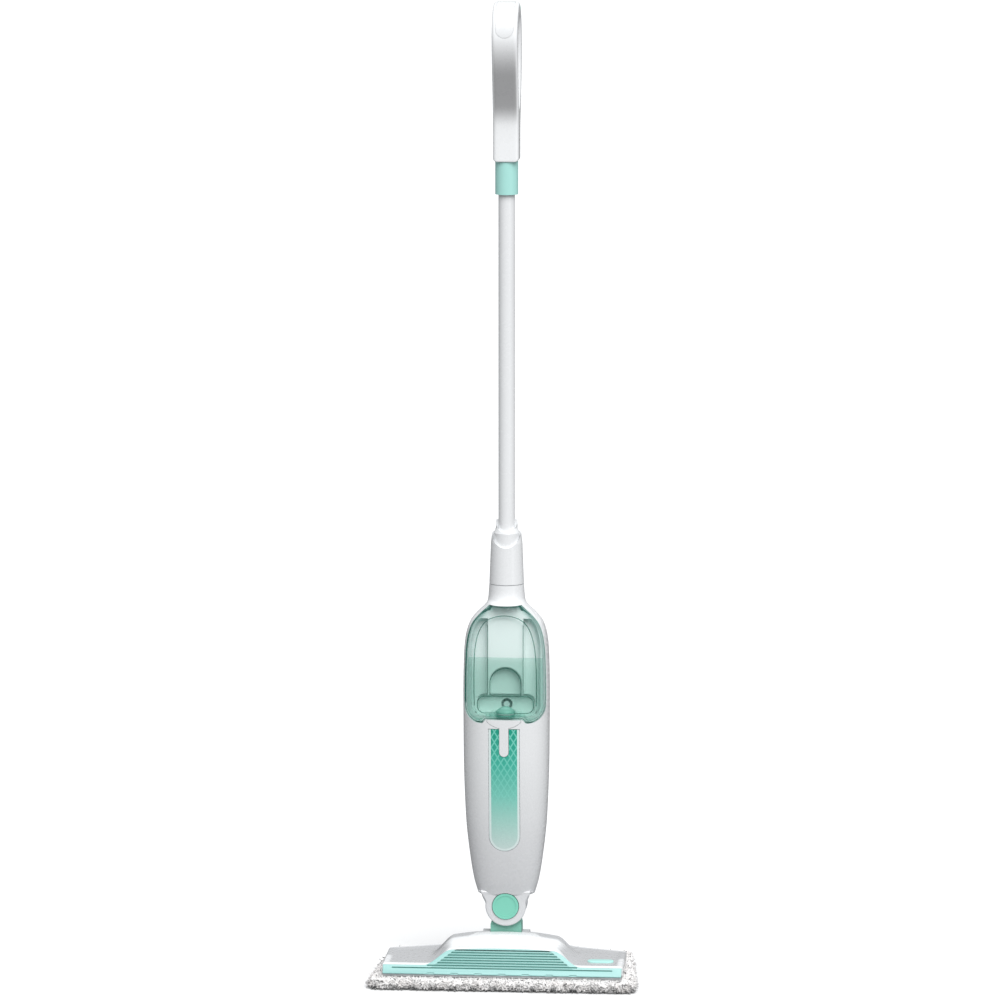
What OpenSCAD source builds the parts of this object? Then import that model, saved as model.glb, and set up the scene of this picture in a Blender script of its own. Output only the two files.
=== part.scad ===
// Upright steam mop: a trapezoid mop head with a microfibre pad, a two-axis swivel neck,
// a tapered body with a clear water tank in its front, and a pump-action tube and loop handle.
// Millimetres. +Z is up, -Y is the front, the origin is on the floor under the swivel.

/* [Overall] */
// Height of the top of the handle above the floor
overall_h = 1200; // [1150:10:1250]

/* [Mop head] */
// Width of the pad at its front edge
pad_front_w = 330; // [320:2:340]
// Width of the pad at its back edge
pad_back_w = 304; // [290:2:316]
// Depth of the pad from front to back
pad_depth = 184; // [180:2:200]
// Thickness of the pad
pad_t = 14; // [12:1:16]
// Width of the moulded head
head_w = 294; // [284:2:300]
// Height of the hump over the swivel
hump_z = 58.5; // [57:0.5:62]

/* [Swivel neck] */
// Height of the fore-and-aft pivot
pitch_z = 46; // [45:0.5:47]
// Height of the side-to-side pivot
roll_z = 91.4; // [90:0.2:93]
// Width of the swivel yoke
yoke_w = 38; // [34:1:38]

/* [Body] */
// Wall thickness of the moulded shells
wall = 2.6; // [2:0.2:3]
// Outer radius of the tube
tube_r = 10; // [9.5:0.5:10]
// Stroke of the pump action
pump_stroke = 15; // [10:1:15]

/* [Tank] */
// Height of the underside of the tank
tank_z = 324.4; // [323:0.2:326]
// Wall thickness of the tank
tank_wall = 2.2; // [1.8:0.2:2.6]

/* [Hidden] */
$fn = 48;

eps = 0.01;
run = 0.06; // radial clearance of a pin in its bore
gap = 0.5; // clearance between parts that move past each other

// ---- colours
white = [0.95, 0.96, 0.96];
mint = [0.62, 0.87, 0.83];
deep_mint = [0.2, 0.72, 0.6];
clear_green = [0.6, 0.85, 0.78, 0.4];
grey = [0.6, 0.62, 0.63];
dark = [0.22, 0.24, 0.25];
steel = [0.75, 0.76, 0.78];

// ---- heights along the mop
base_z = pad_t + 1; // underside of the base plate
base_t = 4;
cover_z = base_z + base_t; // underside of the head cover
tongue_r = 25; // round end of the body, about the roll pivot
tongue_y = 19; // half depth of the body's round end
lug_r = 14.5; // upper eye of the yoke
lug_y = 12; // half depth of the yoke
cap_r = 16;
shoulder_z = 108;
neck_z = 491; // seam between the shells and the neck collar
neck_bore_r = 15.8;
tube_z = 500;
handle_z = overall_h - 193; // underside of the handle shells
part_y = -20.2; // plane where the tank meets the body
pin_inner_x = 12.5;
bracket_x = yoke_w / 2 + 0.6;
bracket_t = 6.4;

// ---- the body's free-form section: height, half width, front depth, back depth, exponent
sections = [[108, 35.5, 21, 21, 2.6], [122, 39.5, 25, 22, 2.6], [145, 43.6, 29.5, 25, 2.6],
    [206, 50, 37.5, 33, 2.6], [282, 52.4, 43.5, 40, 2.6], [358, 52.8, 46, 42, 2.6],
    [405, 51.8, 45.4, 41.2, 2.6], [425, 50, 44.4, 40, 2.55], [443, 44.8, 42.4, 36.5, 2.5],
    [455, 35.8, 39.4, 30.5, 2.4], [463, 27.5, 36, 25.5, 2.3], [467, 24.2, 33, 23.8, 2.2],
    [471, 22.8, 24.5, 22.8, 2], [480, 21.8, 21.8, 21.8, 2], [491, 21.1, 21.1, 21.1, 2]];

// One section value at height z, on straight lines between the sections above
function section(z, column) = lookup(z, [for (s = sections) [s[0], s[column]]]);

// Half width of the body at height z in the plane y, inset by off
function half_width(z, y, off) = let (f = section(z, 2) - off, p = section(z, 4))
    f <= -y ? 0 : (section(z, 1) - off) * pow(1 - pow(-y / f, p), 1 / p);

function signed_pow(v, e) = sign(v) * pow(abs(v), e);

// A closed ring of n points: a superellipse with its own front and back depth
function ring(z, a, f, b, p, n) = [for (i = [0 : n - 1]) let (t = 360 * i / n)
    [a * signed_pow(cos(t), 2 / p), (sin(t) < 0 ? f : b) * signed_pow(sin(t), 2 / p), z]];

function body_ring(z, off, n = 40) =
    ring(z, section(z, 1) - off, section(z, 2) - off, section(z, 3) - off, section(z, 4), n);

// Closed solid through rings of equal point count, from the lowest to the highest
module loft(rings) {
    n = len(rings[0]);
    m = len(rings);
    sides = [for (j = [0 : m - 2]) for (i = [0 : n - 1])
        let (k = (i + 1) % n, lo = j * n, hi = lo + n)
        each [[lo + i, hi + i, hi + k], [lo + i, hi + k, lo + k]]];
    ends = [[for (i = [0 : n - 1]) i], [for (i = [n - 1 : -1 : 0]) (m - 1) * n + i]];
    polyhedron([for (r = rings) each r], concat(sides, ends), convexity = 8);
}

// A free-form shell and all its cuts as one mesh
module one_mesh() { resize([0, 0, 0]) children(); }

// Extrudes a 2D shape drawn in x and z from y0 to y1
module extrude_y(y0, y1) { translate([0, y1, 0]) rotate([90, 0, 0]) linear_extrude(y1 - y0) children(); }

// Extrudes a 2D shape drawn in y and z from x0 to x1
module extrude_x(x0, x1) { translate([x0, 0, 0]) rotate([90, 0, 90]) linear_extrude(x1 - x0) children(); }

// Cylinders along each axis, from a to b
module cyl_x(r, a, b, y = 0, z = 0) { translate([a, y, z]) rotate([0, 90, 0]) cylinder(r = r, h = b - a); }
module cyl_y(r, a, b, x = 0, z = 0) { translate([x, b, z]) rotate([90, 0, 0]) cylinder(r = r, h = b - a); }
module cyl_z(r, a, b, x = 0, y = 0) { translate([x, y, a]) cylinder(r = r, h = b - a); }

// A box between two corners
module block(lo, hi) { translate(lo) cube(hi - lo); }

// Copies for the right and the left side
module both_sides() {
    children();
    mirror([1, 0, 0]) children();
}

// A rectangle with round corners, from one corner to the other
module round_rect(lo, hi, r) {
    hull() for (x = [lo[0] + r, hi[0] - r]) for (z = [lo[1] + r, hi[1] - r])
        translate([x, z]) circle(r, $fn = 24);
}

function unit(v) = v / norm(v);

// Round hose through a list of points, none of its lengths running along X
module hose(points, r, n = 10) {
    last = len(points) - 1;
    loft([for (i = [0 : last])
        let (a = unit(points[min(i + 1, last)] - points[max(i, 1) - (i == last ? 1 : i == 0 ? 1 : 0)]),
            b = unit(points[max(i, 1)] - points[max(i, 1) - 1]), t = unit(a + b),
            u = unit(cross([1, 0, 0], t)), v = cross(t, u), m = 1 / max(0.7, a * t))
        [for (k = [0 : n - 1]) points[i] + (r * cos(360 * k / n)) * v * m + (r * sin(360 * k / n)) * u * m]]);
}

// Coil spring along +Z
module coil(r, wire, length, turns) {
    sides = 6;
    steps = turns * 12;
    rings = [for (i = [0 : steps])
        let (t = 360 * turns * i / steps, z = wire + (length - 2 * wire) * i / steps)
        [for (k = [0 : sides - 1]) let (w = -360 * k / sides)
            [(r + wire * cos(w)) * cos(t), (r + wire * cos(w)) * sin(t), z + wire * sin(w)]]];
    loft(rings);
}

// ================= mop head =================

module pad_outline(inset = 0) {
    r = 14;
    hull() {
        for (s = [-1, 1]) {
            translate([s * (pad_front_w / 2 - r - inset), -pad_depth / 2 + r + inset]) circle(r);
            translate([s * (pad_back_w / 2 - r - inset), pad_depth / 2 - r - inset]) circle(r);
        }
    }
}

module pad() { color([0.86, 0.86, 0.85]) linear_extrude(pad_t) pad_outline(); }

module hook_strips() {
    color(dark) both_sides() block([30, -66, pad_t], [128, 10, base_z]);
}

head_x = head_w / 2;
grille_front_y = -80;
grille_slope = 0.58; // how far the grille leans back for each mm of height
wing_z = 29.6;
grille_mid_z = 49;

// 0 over the hump and 1 over the side wings
function wing_share(x) = let (t = min(1, max(0, (abs(x) - 63) / 34))) t * t * (3 - 2 * t);
function mix(a, b, t) = a + (b - a) * t;
function smooth(t) = let (u = min(1, max(0, t))) u * u * (3 - 2 * u);

// Top edge of the grille
function grille_top(x) = mix(grille_mid_z - 2 * pow(x / 63, 2), wing_z, wing_share(x));
function grille_y(z) = grille_front_y + (z - cover_z) * grille_slope;

// Back edge of the head
function head_back_y(x) = abs(x) < 60 ? 62 : mix(62, 18, pow((abs(x) - 60) / (head_x - 60), 1.15));

// Front edge of the head cover, just behind the grille
function cover_front_y(x) = grille_y(grille_top(x)) + 4;

function hump_top(x, y) =
    let (crest = hump_z - 5.5 * pow(x / 63, 2),
        rise = smooth((y - cover_front_y(x)) / (-24 - cover_front_y(x))),
        fall = smooth((y + 8) / 28))
    mix(mix(grille_top(x), crest, rise), 27.5, fall);

function wing_top(x, y) =
    let (ends = smooth((head_back_y(x) - 4 - y) / 14) * smooth((head_x - 4 - abs(x)) / 8),
        scoop = smooth((y + 66) / 8) * ends)
    wing_z - 2.6 * scoop - 3 * smooth((y - 4) / 50);

function head_top(x, y) = mix(hump_top(x, y), wing_top(x, y), wing_share(x));

cover_nx = 42;
cover_ny = 16;

// Solid under the head's top surface, inset all round
module head_solid(inset, drop, floor_z) {
    us = [for (i = [0 : cover_nx]) -1 + 2 * i / cover_nx];
    vs = [for (j = [0 : cover_ny]) j / cover_ny];
    top = [for (u = us) for (v = vs) let (x = u * (head_x - inset),
        y = mix(cover_front_y(x) + inset, head_back_y(x) - inset, v)) [x, y, head_top(x, y) - drop]];
    count = len(top);
    rows = cover_ny + 1;
    bottom = [for (p = top) [p[0], p[1], floor_z]];
    tops = [for (i = [0 : cover_nx - 1]) for (j = [0 : cover_ny - 1]) let (a = i * rows + j)
        each [[a, a + 1, a + rows + 1], [a, a + rows + 1, a + rows]]];
    bottoms = [for (f = tops) [f[2] + count, f[1] + count, f[0] + count]];
    rim = concat([for (i = [0 : cover_nx]) i * rows], [for (j = [1 : cover_ny]) cover_nx * rows + j],
        [for (i = [cover_nx - 1 : -1 : 0]) i * rows + cover_ny], [for (j = [cover_ny - 1 : -1 : 1]) j]);
    walls = [for (k = [0 : len(rim) - 1]) let (a = rim[k], b = rim[(k + 1) % len(rim)])
        each [[a, b, b + count], [a, b + count, a + count]]];
    polyhedron(concat(top, bottom), concat(tops, bottoms, walls), convexity = 10);
}

module head_cover() {
    color(white) one_mesh() difference() {
        union() {
            difference() {
                head_solid(0, 0, cover_z);
                head_solid(wall, wall, cover_z - 1);
            }
            both_sides() cyl_x(12.4, yoke_w / 2 + gap, 28.6, 0, pitch_z);
            for (p = screw_spots) intersection() {
                cyl_z(4, cover_z, 40, p[0], p[1], $fn = 20);
                head_solid(1, 1, cover_z);
            }
        }
        block([-yoke_w / 2 - gap, -14, cover_z - 1], [yoke_w / 2 + gap, 24, 80]);
        both_sides() cyl_x(9.8, 19, bracket_x + bracket_t + 0.4, 0, pitch_z);
        both_sides() block([19, -8, cover_z - 1], [bracket_x + bracket_t + 0.4, 8, pitch_z]);
        for (p = screw_spots) cyl_z(1.6, cover_z - 1, cover_z + 9, p[0], p[1], $fn = 14);
    }
}

screw_spots = [[110, -50], [110, 8], [-110, -50], [-110, 8]];

// Outline of the grille's face: x, and height along the slope
slope_len = sqrt(1 + grille_slope * grille_slope);
module grille_outline(inset = 0) {
    xs = [for (x = [-head_x + 1 : 7 : head_x]) x];
    polygon(concat([[-head_x + 1, 0]], [for (x = xs) [x, (grille_top(x) - cover_z) * slope_len - inset]],
        [[head_x - 1, (wing_z - cover_z) * slope_len - inset], [head_x - 1, 0]]));
}

slit_pitch = 3.35;
slit_count = 8;
module front_grille() {
    color(mint) translate([0, grille_front_y, cover_z]) rotate([90 - atan(grille_slope), 0, 0]) difference() {
        translate([0, 0, -3]) linear_extrude(3) grille_outline();
        for (i = [0 : slit_count - 1]) {
            s = 7.6 + i * slit_pitch;
            reach = i == 0 ? head_x - 12 : i == 1 ? 92 : 88 - 4.2 * i;
            block([-reach, s - 0.7, -1.6], [reach, s + 0.7, 1]);
        }
        for (i = [-3 : 3]) block([i * 32 - 6, -1, -1], [i * 32 + 6, 1.5, 1]);
    }
}

// Raised plain badge on the right wing
module head_badge() {
    color(mint) translate([118, -34, 27.1]) linear_extrude(1.8) hull() {
        for (s = [-1, 1]) translate([s * 9, 0]) circle(7);
    }
}

module base_outline() {
    polygon(concat([[-head_x + 2, grille_front_y + 4], [head_x - 2, grille_front_y + 4]],
        [for (x = [head_x - 2 : -9 : -head_x]) [x, head_back_y(x) - 1.5]],
        [[-head_x + 2, head_back_y(head_x) - 1.5]]));
}

module base_plate() {
    color(grey) difference() {
        union() {
            translate([0, 0, base_z]) linear_extrude(base_t) base_outline();
            both_sides() block([bracket_x, -7.5, cover_z - eps], [bracket_x + bracket_t, 7.5, pitch_z]);
            both_sides() cyl_x(9, bracket_x, bracket_x + bracket_t, 0, pitch_z);
        }
        cyl_x(4.02, -60, 60, 0, pitch_z);
        for (p = screw_spots) {
            cyl_z(1.7, base_z - 1, cover_z + 1, p[0], p[1]);
            cyl_z(3.3, base_z - 1, base_z + 1.8, p[0], p[1]);
        }
        for (x = [-50 : 20 : 50]) for (y = [-44, -28]) cyl_z(1.5, base_z - 1, cover_z + 1, x, y);
    }
}

// Low box that spreads the steam over the vents, with its inlet spigot towards the yoke
module steam_diffuser() {
    color(dark) difference() {
        union() {
            block([-60, -52, cover_z], [60, -20, cover_z + 9]);
            cyl_z(4.5, cover_z + 8, cover_z + 16, 8.7, -24);
        }
        block([-57.5, -49.5, cover_z - 1], [57.5, -22.5, cover_z + 6.5]);
        cyl_z(2.5, cover_z + 5, cover_z + 17, 8.7, -24);
    }
}

module head_screws() {
    color(steel) for (p = screw_spots) {
        cyl_z(3, base_z + 0.3, base_z + 1.8, p[0], p[1]);
        cyl_z(1.5, base_z + 1.7, cover_z + 8, p[0], p[1]);
    }
}

module pitch_pins() {
    color(steel) both_sides() cyl_x(4, pin_inner_x + 0.3, bracket_x + bracket_t, 0, pitch_z);
}

// ================= swivel yoke =================

module yoke() {
    half = yoke_w / 2;
    color(deep_mint) difference() {
        union() {
            cyl_x(12, -half, half, 0, pitch_z);
            extrude_y(-lug_y, lug_y) {
                polygon([[-half, pitch_z], [half, pitch_z], [half, 67], [13.6, 86],
                    [-13.6, 86], [-half, 67]]);
                translate([0, roll_z]) circle(lug_r);
            }
        }
        both_sides() cyl_x(4 + run, pin_inner_x, half + 1, 0, pitch_z);
        cyl_y(5 + run, -lug_y - 1, lug_y + 1, 0, roll_z);
        cyl_z(3.05, 30, 110, 8.7);
    }
}

module yoke_hose() {
    color(dark) difference() {
        cyl_z(3, pitch_z - 9, roll_z + 10, 8.7);
        cyl_z(1.8, pitch_z - 10, roll_z + 11, 8.7);
    }
}

// ================= body =================

// Round end of the body seen from the front
module tongue_outline(r = tongue_r, top = shoulder_z) {
    translate([0, roll_z]) circle(r, $fn = 64);
    wide = r + 5.5;
    polygon([[-r, roll_z], [r, roll_z], [wide, top - 3], [wide, top + 3],
        [-wide, top + 3], [-wide, top - 3]]);
}

shell_heights = [for (s = sections) s[0]];
extra_heights = [175, 244, 320, 382, 415, 434, 449, 459];
named_heights = concat(shell_heights, extra_heights);
all_heights = [for (z = [shoulder_z : neck_z]) if (len(search(z, named_heights)) > 0) z];

module body_solid(off, z0 = shoulder_z, z1 = neck_z) {
    between = [for (z = all_heights) if (z > z0 + 0.5 && z < z1 - 0.5) z];
    loft([for (z = concat([z0], between, [z1])) body_ring(z, off)]);
}

// Shell of the whole body, open at the neck, with the two round cheeks that hold the swivel
module body_shell() {
    difference() {
        union() {
            difference() {
                body_solid(0);
                body_solid(wall, shoulder_z + wall, neck_z + 1);
            }
            extrude_y(-tongue_y, tongue_y) tongue_outline();
        }
        block([-80, -15.5, 0], [80, 15.5, shoulder_z + eps]);
        block([-30.2, -15.5, 100], [30.2, 15.5, roll_z + tongue_r + 1]);
        cyl_y(cap_r + 0.4, -60, 60, 0, roll_z, $fn = 48);
    }
}

// Points up the side of the body in the plane y, inset by off
function side_points(zs, y, off) = [for (z = zs) [half_width(z, y, off), z]];

// Closes a list of right-hand points, from the bottom up, with their mirror image
module mirrored(right) {
    last = len(right) - 1;
    polygon(concat(right, [for (i = [last : -1 : 0]) [-right[i][0], right[i][1]]]));
}

// Outline of the tank, seen from the front
tank_top = 466.6;
notch_z = tank_z + 5;
tank_heights = [for (z = [350 : 12 : 458]) z];
module tank_outline(grow = 0) {
    corner = [for (t = [90 : -15 : 0]) [29.8 + (20 + grow) * cos(t), 344.4 - (20 + grow) * sin(t)]];
    sides = side_points(concat(tank_heights, [462, tank_top]), part_y, 0);
    mirrored(concat([[22.5 - grow / 2, notch_z - grow], [27 - grow / 2, tank_z - grow]], corner,
        [for (p = sides) [p[0] + grow, p[1]]], [[sides[len(sides) - 1][0] + grow, tank_top + grow]]));
}

panel_w = 37.2;
panel_z0 = 163.5;
panel_z1 = 317;
module panel_outline(grow = 0) {
    r = panel_w / 2 + grow;
    translate([0, panel_z0 + panel_w / 2]) circle(r);
    translate([-r, panel_z0 + panel_w / 2]) square([2 * r, panel_z1 + grow - panel_z0 - panel_w / 2]);
}

// Tank release: a thumb pad under the tank's notch with a long stem below it
stem_r = 5.6;
stem_z = 283;
button_top = notch_z - 0.9;
button_half = 20.6;
module button_outline(grow = 0) {
    intersection() {
        translate([0, button_top + 20]) circle(30.4 + grow, $fn = 64);
        translate([-button_half - grow, 310]) square([2 * (button_half + grow), button_top - 310 + grow]);
    }
    translate([0, stem_z + stem_r]) circle(stem_r + grow, $fn = 24);
    translate([-stem_r - grow, stem_z + stem_r]) square([2 * (stem_r + grow), 34]);
}

module front_shell() {
    color(white) one_mesh() difference() {
        union() {
            intersection() {
                body_shell();
                block([-80, -60, 0], [80, 0, 600]);
            }
            for (p = body_screw_spots) intersection() {
                cyl_y(3.6, -60, 0, p[0], p[1], $fn = 16);
                body_solid(1);
            }
        }
        extrude_y(-60, part_y + 0.4) tank_outline(0.5);
        extrude_y(-60, -30) button_outline(0.4);
        intersection() {
            difference() {
                extrude_y(-60, 0) panel_outline(0.3);
                body_solid(1.5, shoulder_z, neck_z);
            }
            block([-60, -60, 150], [60, 0, 330]);
        }
        for (p = body_screw_spots) cyl_y(1.5, -12, 1, p[0], p[1], $fn = 14);
    }
}

body_screw_spots = [[34, 140], [-34, 140], [42, 300], [-42, 300]];

module rear_shell() {
    color(white) one_mesh() difference() {
        union() {
            intersection() {
                body_shell();
                block([-80, eps, 0], [80, 60, 600]);
            }
            for (p = body_screw_spots) intersection() {
                cyl_y(5.5, eps, 60, p[0], p[1], $fn = 20);
                body_solid(1);
            }
        }
        for (p = body_screw_spots) {
            cyl_y(1.8, -1, 60, p[0], p[1], $fn = 14);
            cyl_y(3.4, 9, 60, p[0], p[1], $fn = 20);
        }
        on_back(gland_z) cyl_z(gland_r + 0.1, -10, 10, $fn = 32);
    }
}

module swivel_frame() {
    color(grey) difference() {
        union() {
            for (y = [-15.4, 12.4]) extrude_y(y, y + 3) tongue_outline(tongue_r - 1.5, 106);
            block([-29, -15.4, shoulder_z + 0.6], [29, 15.4, shoulder_z + 3.4]);
        }
        cyl_y(5.02, -20, 20, 0, roll_z);
        cyl_z(6, 100, 120, 8.7);
    }
}

module roll_pin() { color(steel) cyl_y(5, -15.4, 15.4, 0, roll_z); }

// Dished round cap over the end of the roll pin
module pivot_cap(side) {
    color(mint) difference() {
        cyl_y(cap_r, side < 0 ? -20.6 : 15.45, side < 0 ? -15.45 : 20.6, 0, roll_z);
        if (side < 0) cyl_y(cap_r - 3, -21, -20, 0, roll_z);
    }
}
module front_pivot_cap() { pivot_cap(-1); }
module rear_pivot_cap() { pivot_cap(1); }

// Collar over the top of the shells, scooped at its front, that guides the ferrule
collar_top = 553.5;
module scoop(r, z, depth) { cyl_y(r, -60, depth, 0, z); }
module neck_collar() {
    color(white) difference() {
        union() {
            translate([0, 0, neck_z]) cylinder(r1 = 21.1, r2 = 19.2, h = 50);
            translate([0, 0, neck_z + 50 - eps]) cylinder(r1 = 19.2, r2 = 17.6, h = collar_top - neck_z - 50);
            cyl_z(18.4, neck_z - 12, neck_z + 1);
        }
        cyl_z(neck_bore_r, neck_z - 20, 600);
        scoop(17.5, collar_top, 0);
    }
}

// Printed panel let into the front, following the body's curve
module decor_panel() {
    color(deep_mint) one_mesh() difference() {
        intersection() {
            body_solid(0.3, shoulder_z, neck_z);
            extrude_y(-60, 0) panel_outline();
            block([-60, -60, 150], [60, 0, 330]);
        }
        body_solid(1.5);
        extrude_y(-60, 0) button_outline(0.4);
    }
}

// ---- tank bay: the moulding behind the tank
pocket_y = -8; // back of the tank's pockets
box_y = 2; // back of the tank's valve box
box_top = 354;
column_x = 22.2; // half width of the flat column between the pockets
arch_r = 19.5; // pocket under the column, with a round top
arch_z = 389 - arch_r;

// Pockets on both sides of the column and under its foot
module pocket_outline(grow = 0) {
    difference() {
        intersection() {
            round_rect([-42 - grow, notch_z - grow], [42 + grow, 449 + grow], 14);
            mirrored([for (z = [320 : 11 : 460]) [half_width(z, -17.4, wall) - 3.8 + grow, z]]);
        }
        difference() {
            translate([grow - column_x, 345]) square([2 * (column_x - grow), 120]);
            translate([0, arch_z]) circle(arch_r + grow);
            translate([-arch_r - grow, 340]) square([2 * (arch_r + grow), arch_z - 340]);
        }
    }
}
module box_outline(grow = 0) { round_rect([-35 - grow, notch_z - grow], [35 + grow, box_top + grow], 9); }

bay_gap = 0.6; // clearance of the tank in its bay
bay_t = 2;

// Flange, column and side pockets
module tank_bay() {
    flange = concat(side_points([for (z = [322 : 10 : 452]) z], -17.4, wall + 0.2), [[22, 459]]);
    color(white) difference() {
        union() {
            extrude_y(-17.4, -15.4) mirrored(flange);
            extrude_y(-17.4, pocket_y + bay_gap + bay_t) pocket_outline(bay_gap + bay_t);
        }
        extrude_y(-20, pocket_y + bay_gap) pocket_outline(bay_gap);
        extrude_y(-20, 10) box_outline(bay_gap + bay_t);
        block([-35 - bay_gap - bay_t, -20, 320], [35 + bay_gap + bay_t, 10, notch_z + 12]);
    }
}

// Box behind the valve, with a lip under the tank
module valve_bay() {
    half = 35 + bay_gap + bay_t;
    color(white) difference() {
        union() {
            extrude_y(-17.4, box_y + bay_gap + bay_t) box_outline(bay_gap + bay_t);
            block([-half, -17.4, 322], [half, -15.4, notch_z + 12]);
        }
        extrude_y(-20, box_y + bay_gap) box_outline(bay_gap);
        extrude_y(-20, pocket_y + bay_gap) pocket_outline(bay_gap);
        cyl_y(7, 0, 20, 0, valve_z);
    }
}

valve_z = 340;
module valve_socket() {
    color(dark) difference() {
        union() {
            cyl_y(11, box_y + 2.7, box_y + 12, 0, valve_z);
            cyl_y(3, box_y + 11, box_y + 20, 0, valve_z);
        }
        cyl_y(6.5, box_y, box_y + 8, 0, valve_z);
        cyl_y(1.6, box_y, box_y + 30, 0, valve_z);
    }
}

module boiler() {
    color(steel) difference() {
        union() {
            round_block([-30, -16, 150], [30, 20, 250], 6);
            cyl_z(4, 130, 151, 8.7, 0);
            cyl_z(4, 249, 258, -18, 6);
        }
        cyl_z(2, 129, 151, 8.7, 0);
        cyl_z(2, 249, 259, -18, 6);
    }
}

// A box with round upright edges
module round_block(lo, hi, r) {
    translate([0, 0, lo[2]]) linear_extrude(hi[2] - lo[2]) round_rect([lo[0], lo[1]], [hi[0], hi[1]], r);
}

// Two terminals of the cast-in heating element
module boiler_element() {
    color(dark) for (x = [-8, 12]) {
        cyl_z(4, 250, 256, x, -4);
        cyl_z(1.2, 256, 264, x, -4);
    }
}

module thermostat() {
    color(dark) {
        cyl_y(9, -22, -16, 0, 215);
        cyl_y(7, -22, -16, 0, 180);
    }
}

module terminal_block() { color(white) block([-16, 22.5, 214], [16, 29.5, 234]); }

module pump_cylinder() {
    color(grey) difference() {
        union() {
            cyl_z(12, 398, 455);
            cyl_z(3, 389, 399, -6, 2);
            cyl_z(3, 389, 399, 6, 2);
        }
        cyl_z(8.06, 403, 460);
        cyl_z(1.6, 388, 404, -6, 2);
        cyl_z(1.6, 388, 404, 6, 2);
    }
}

module inlet_hose() {
    color([0.8, 0.85, 0.85]) hose([[0, box_y + 20, valve_z], [-4, box_y + 26, valve_z + 8], [-6, 24, 366],
        [-6, 8, 382], [-6, 2, 389]], 2.8);
}

module outlet_hose() {
    color([0.8, 0.85, 0.85]) hose([[6, 2, 389], [8, 10, 380], [10, 27, 366], [6, 29, 320],
        [-12, 20, 275], [-18, 6, 258]], 2.8);
}

module steam_hose() {
    color(dark) hose([[8.7, 0, 130], [8.7, 0, shoulder_z - 1]], 3.4);
}

module wiring() {
    color([0.5, 0.5, 0.52]) for (x = [-8, 12])
        hose([[x, -4, 264], [x, 6, 271], [x, 20, 262], [x * 0.8, 26, 234]], 1.1);
}

gland_r = 6.5;
gland_z = 262;
cord_r = 3.75;
back_tilt = atan((section(gland_z + 5, 3) - section(gland_z - 5, 3)) / 10);

// Places its children on the back of the body, +Z outward
module on_back(z) { translate([0, section(z, 3), z]) rotate([-90 - back_tilt, 0, 0]) children(); }

module cord_gland() {
    color(dark) on_back(gland_z) difference() {
        union() {
            cyl_z(gland_r, -7, 1);
            cyl_z(9.5, 0.3, 4);
        }
        cyl_z(cord_r, -8, 5);
    }
}

// Open hook for the cord, with its tip towards +Z
module cord_hook(y0, reach) {
    y1 = y0 + reach;
    extrude_x(-7, 7) polygon([[y0, -12], [y0, 8], [y0 + 4, 8], [y0 + 4, -5], [y1 - 5, -5], [y1 - 5, 22],
        [y1 - 2, 26], [y1, 24], [y1, -9], [y1 - 3, -12]]);
}

hook_z = 330;
module lower_cord_hook() {
    color(mint) translate([0, 0, hook_z]) mirror([0, 0, 1]) cord_hook(41.5, 34);
}

module body_screws() {
    color(steel) for (p = body_screw_spots) {
        cyl_y(3, 9.1, 11.5, p[0], p[1]);
        cyl_y(1.4, -11, 9.2, p[0], p[1]);
    }
}

// ================= tank =================

cap_y = -18; // axis of the filler neck
floor_x = 19; // half width of the floor piece
floor_t = 2.4;

module tank_shell() {
    color(clear_green) one_mesh() difference() {
        intersection() {
            body_solid(0);
            extrude_y(-60, part_y) tank_outline();
        }
        intersection() {
            body_solid(tank_wall);
            extrude_y(-61, part_y + 1) offset(-tank_wall) tank_outline();
        }
        block([-floor_x - 0.05, cap_y - 18.05, 320], [floor_x + 0.05, 0, 340]);
    }
}

// Back of the tank: a plate with pockets on both sides of the column, and the valve box
module tank_back() {
    color(clear_green) difference() {
        union() {
            extrude_y(part_y - 2, part_y) intersection() {
                offset(-tank_wall - 0.1) tank_outline();
                mirrored(side_points([for (z = [320 : 12 : 476]) z], part_y - 2, tank_wall + 0.1));
                translate([-60, notch_z]) square([120, 200]);
            }
            extrude_y(part_y - 0.5, pocket_y) pocket_outline();
            extrude_y(part_y - 0.5, box_y) box_outline();
            cyl_y(6, box_y - 0.5, box_y + 7, 0, valve_z);
        }
        extrude_y(part_y - 3, pocket_y - 2) offset(-2) pocket_outline();
        extrude_y(part_y - 3, box_y - 2) offset(-2) box_outline();
        cyl_y(4, box_y - 3, box_y + 8, 0, valve_z);
        block([-floor_x - 0.05, -40, 320], [floor_x + 0.05, 0, notch_z + floor_t]);
    }
}

// Floor piece with the domed filler neck
neck_r = 15.8;
hole_r = 11.8;
module tank_floor() {
    color(clear_green) difference() {
        union() {
            block([-floor_x, cap_y - 18, notch_z], [floor_x, 0, notch_z + floor_t]);
            translate([0, cap_y, notch_z - 4]) rotate_extrude() intersection() {
                circle(neck_r);
                translate([0, 4]) square([20, 8.5]);
            }
        }
        cyl_z(hole_r, 320, 360, 0, cap_y);
    }
}

module tank_valve() {
    color(white) {
        cyl_y(3.8, box_y - 1, box_y + 2, 0, valve_z);
        cyl_y(1.3, box_y + 2, box_y + 9, 0, valve_z);
    }
}

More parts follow.
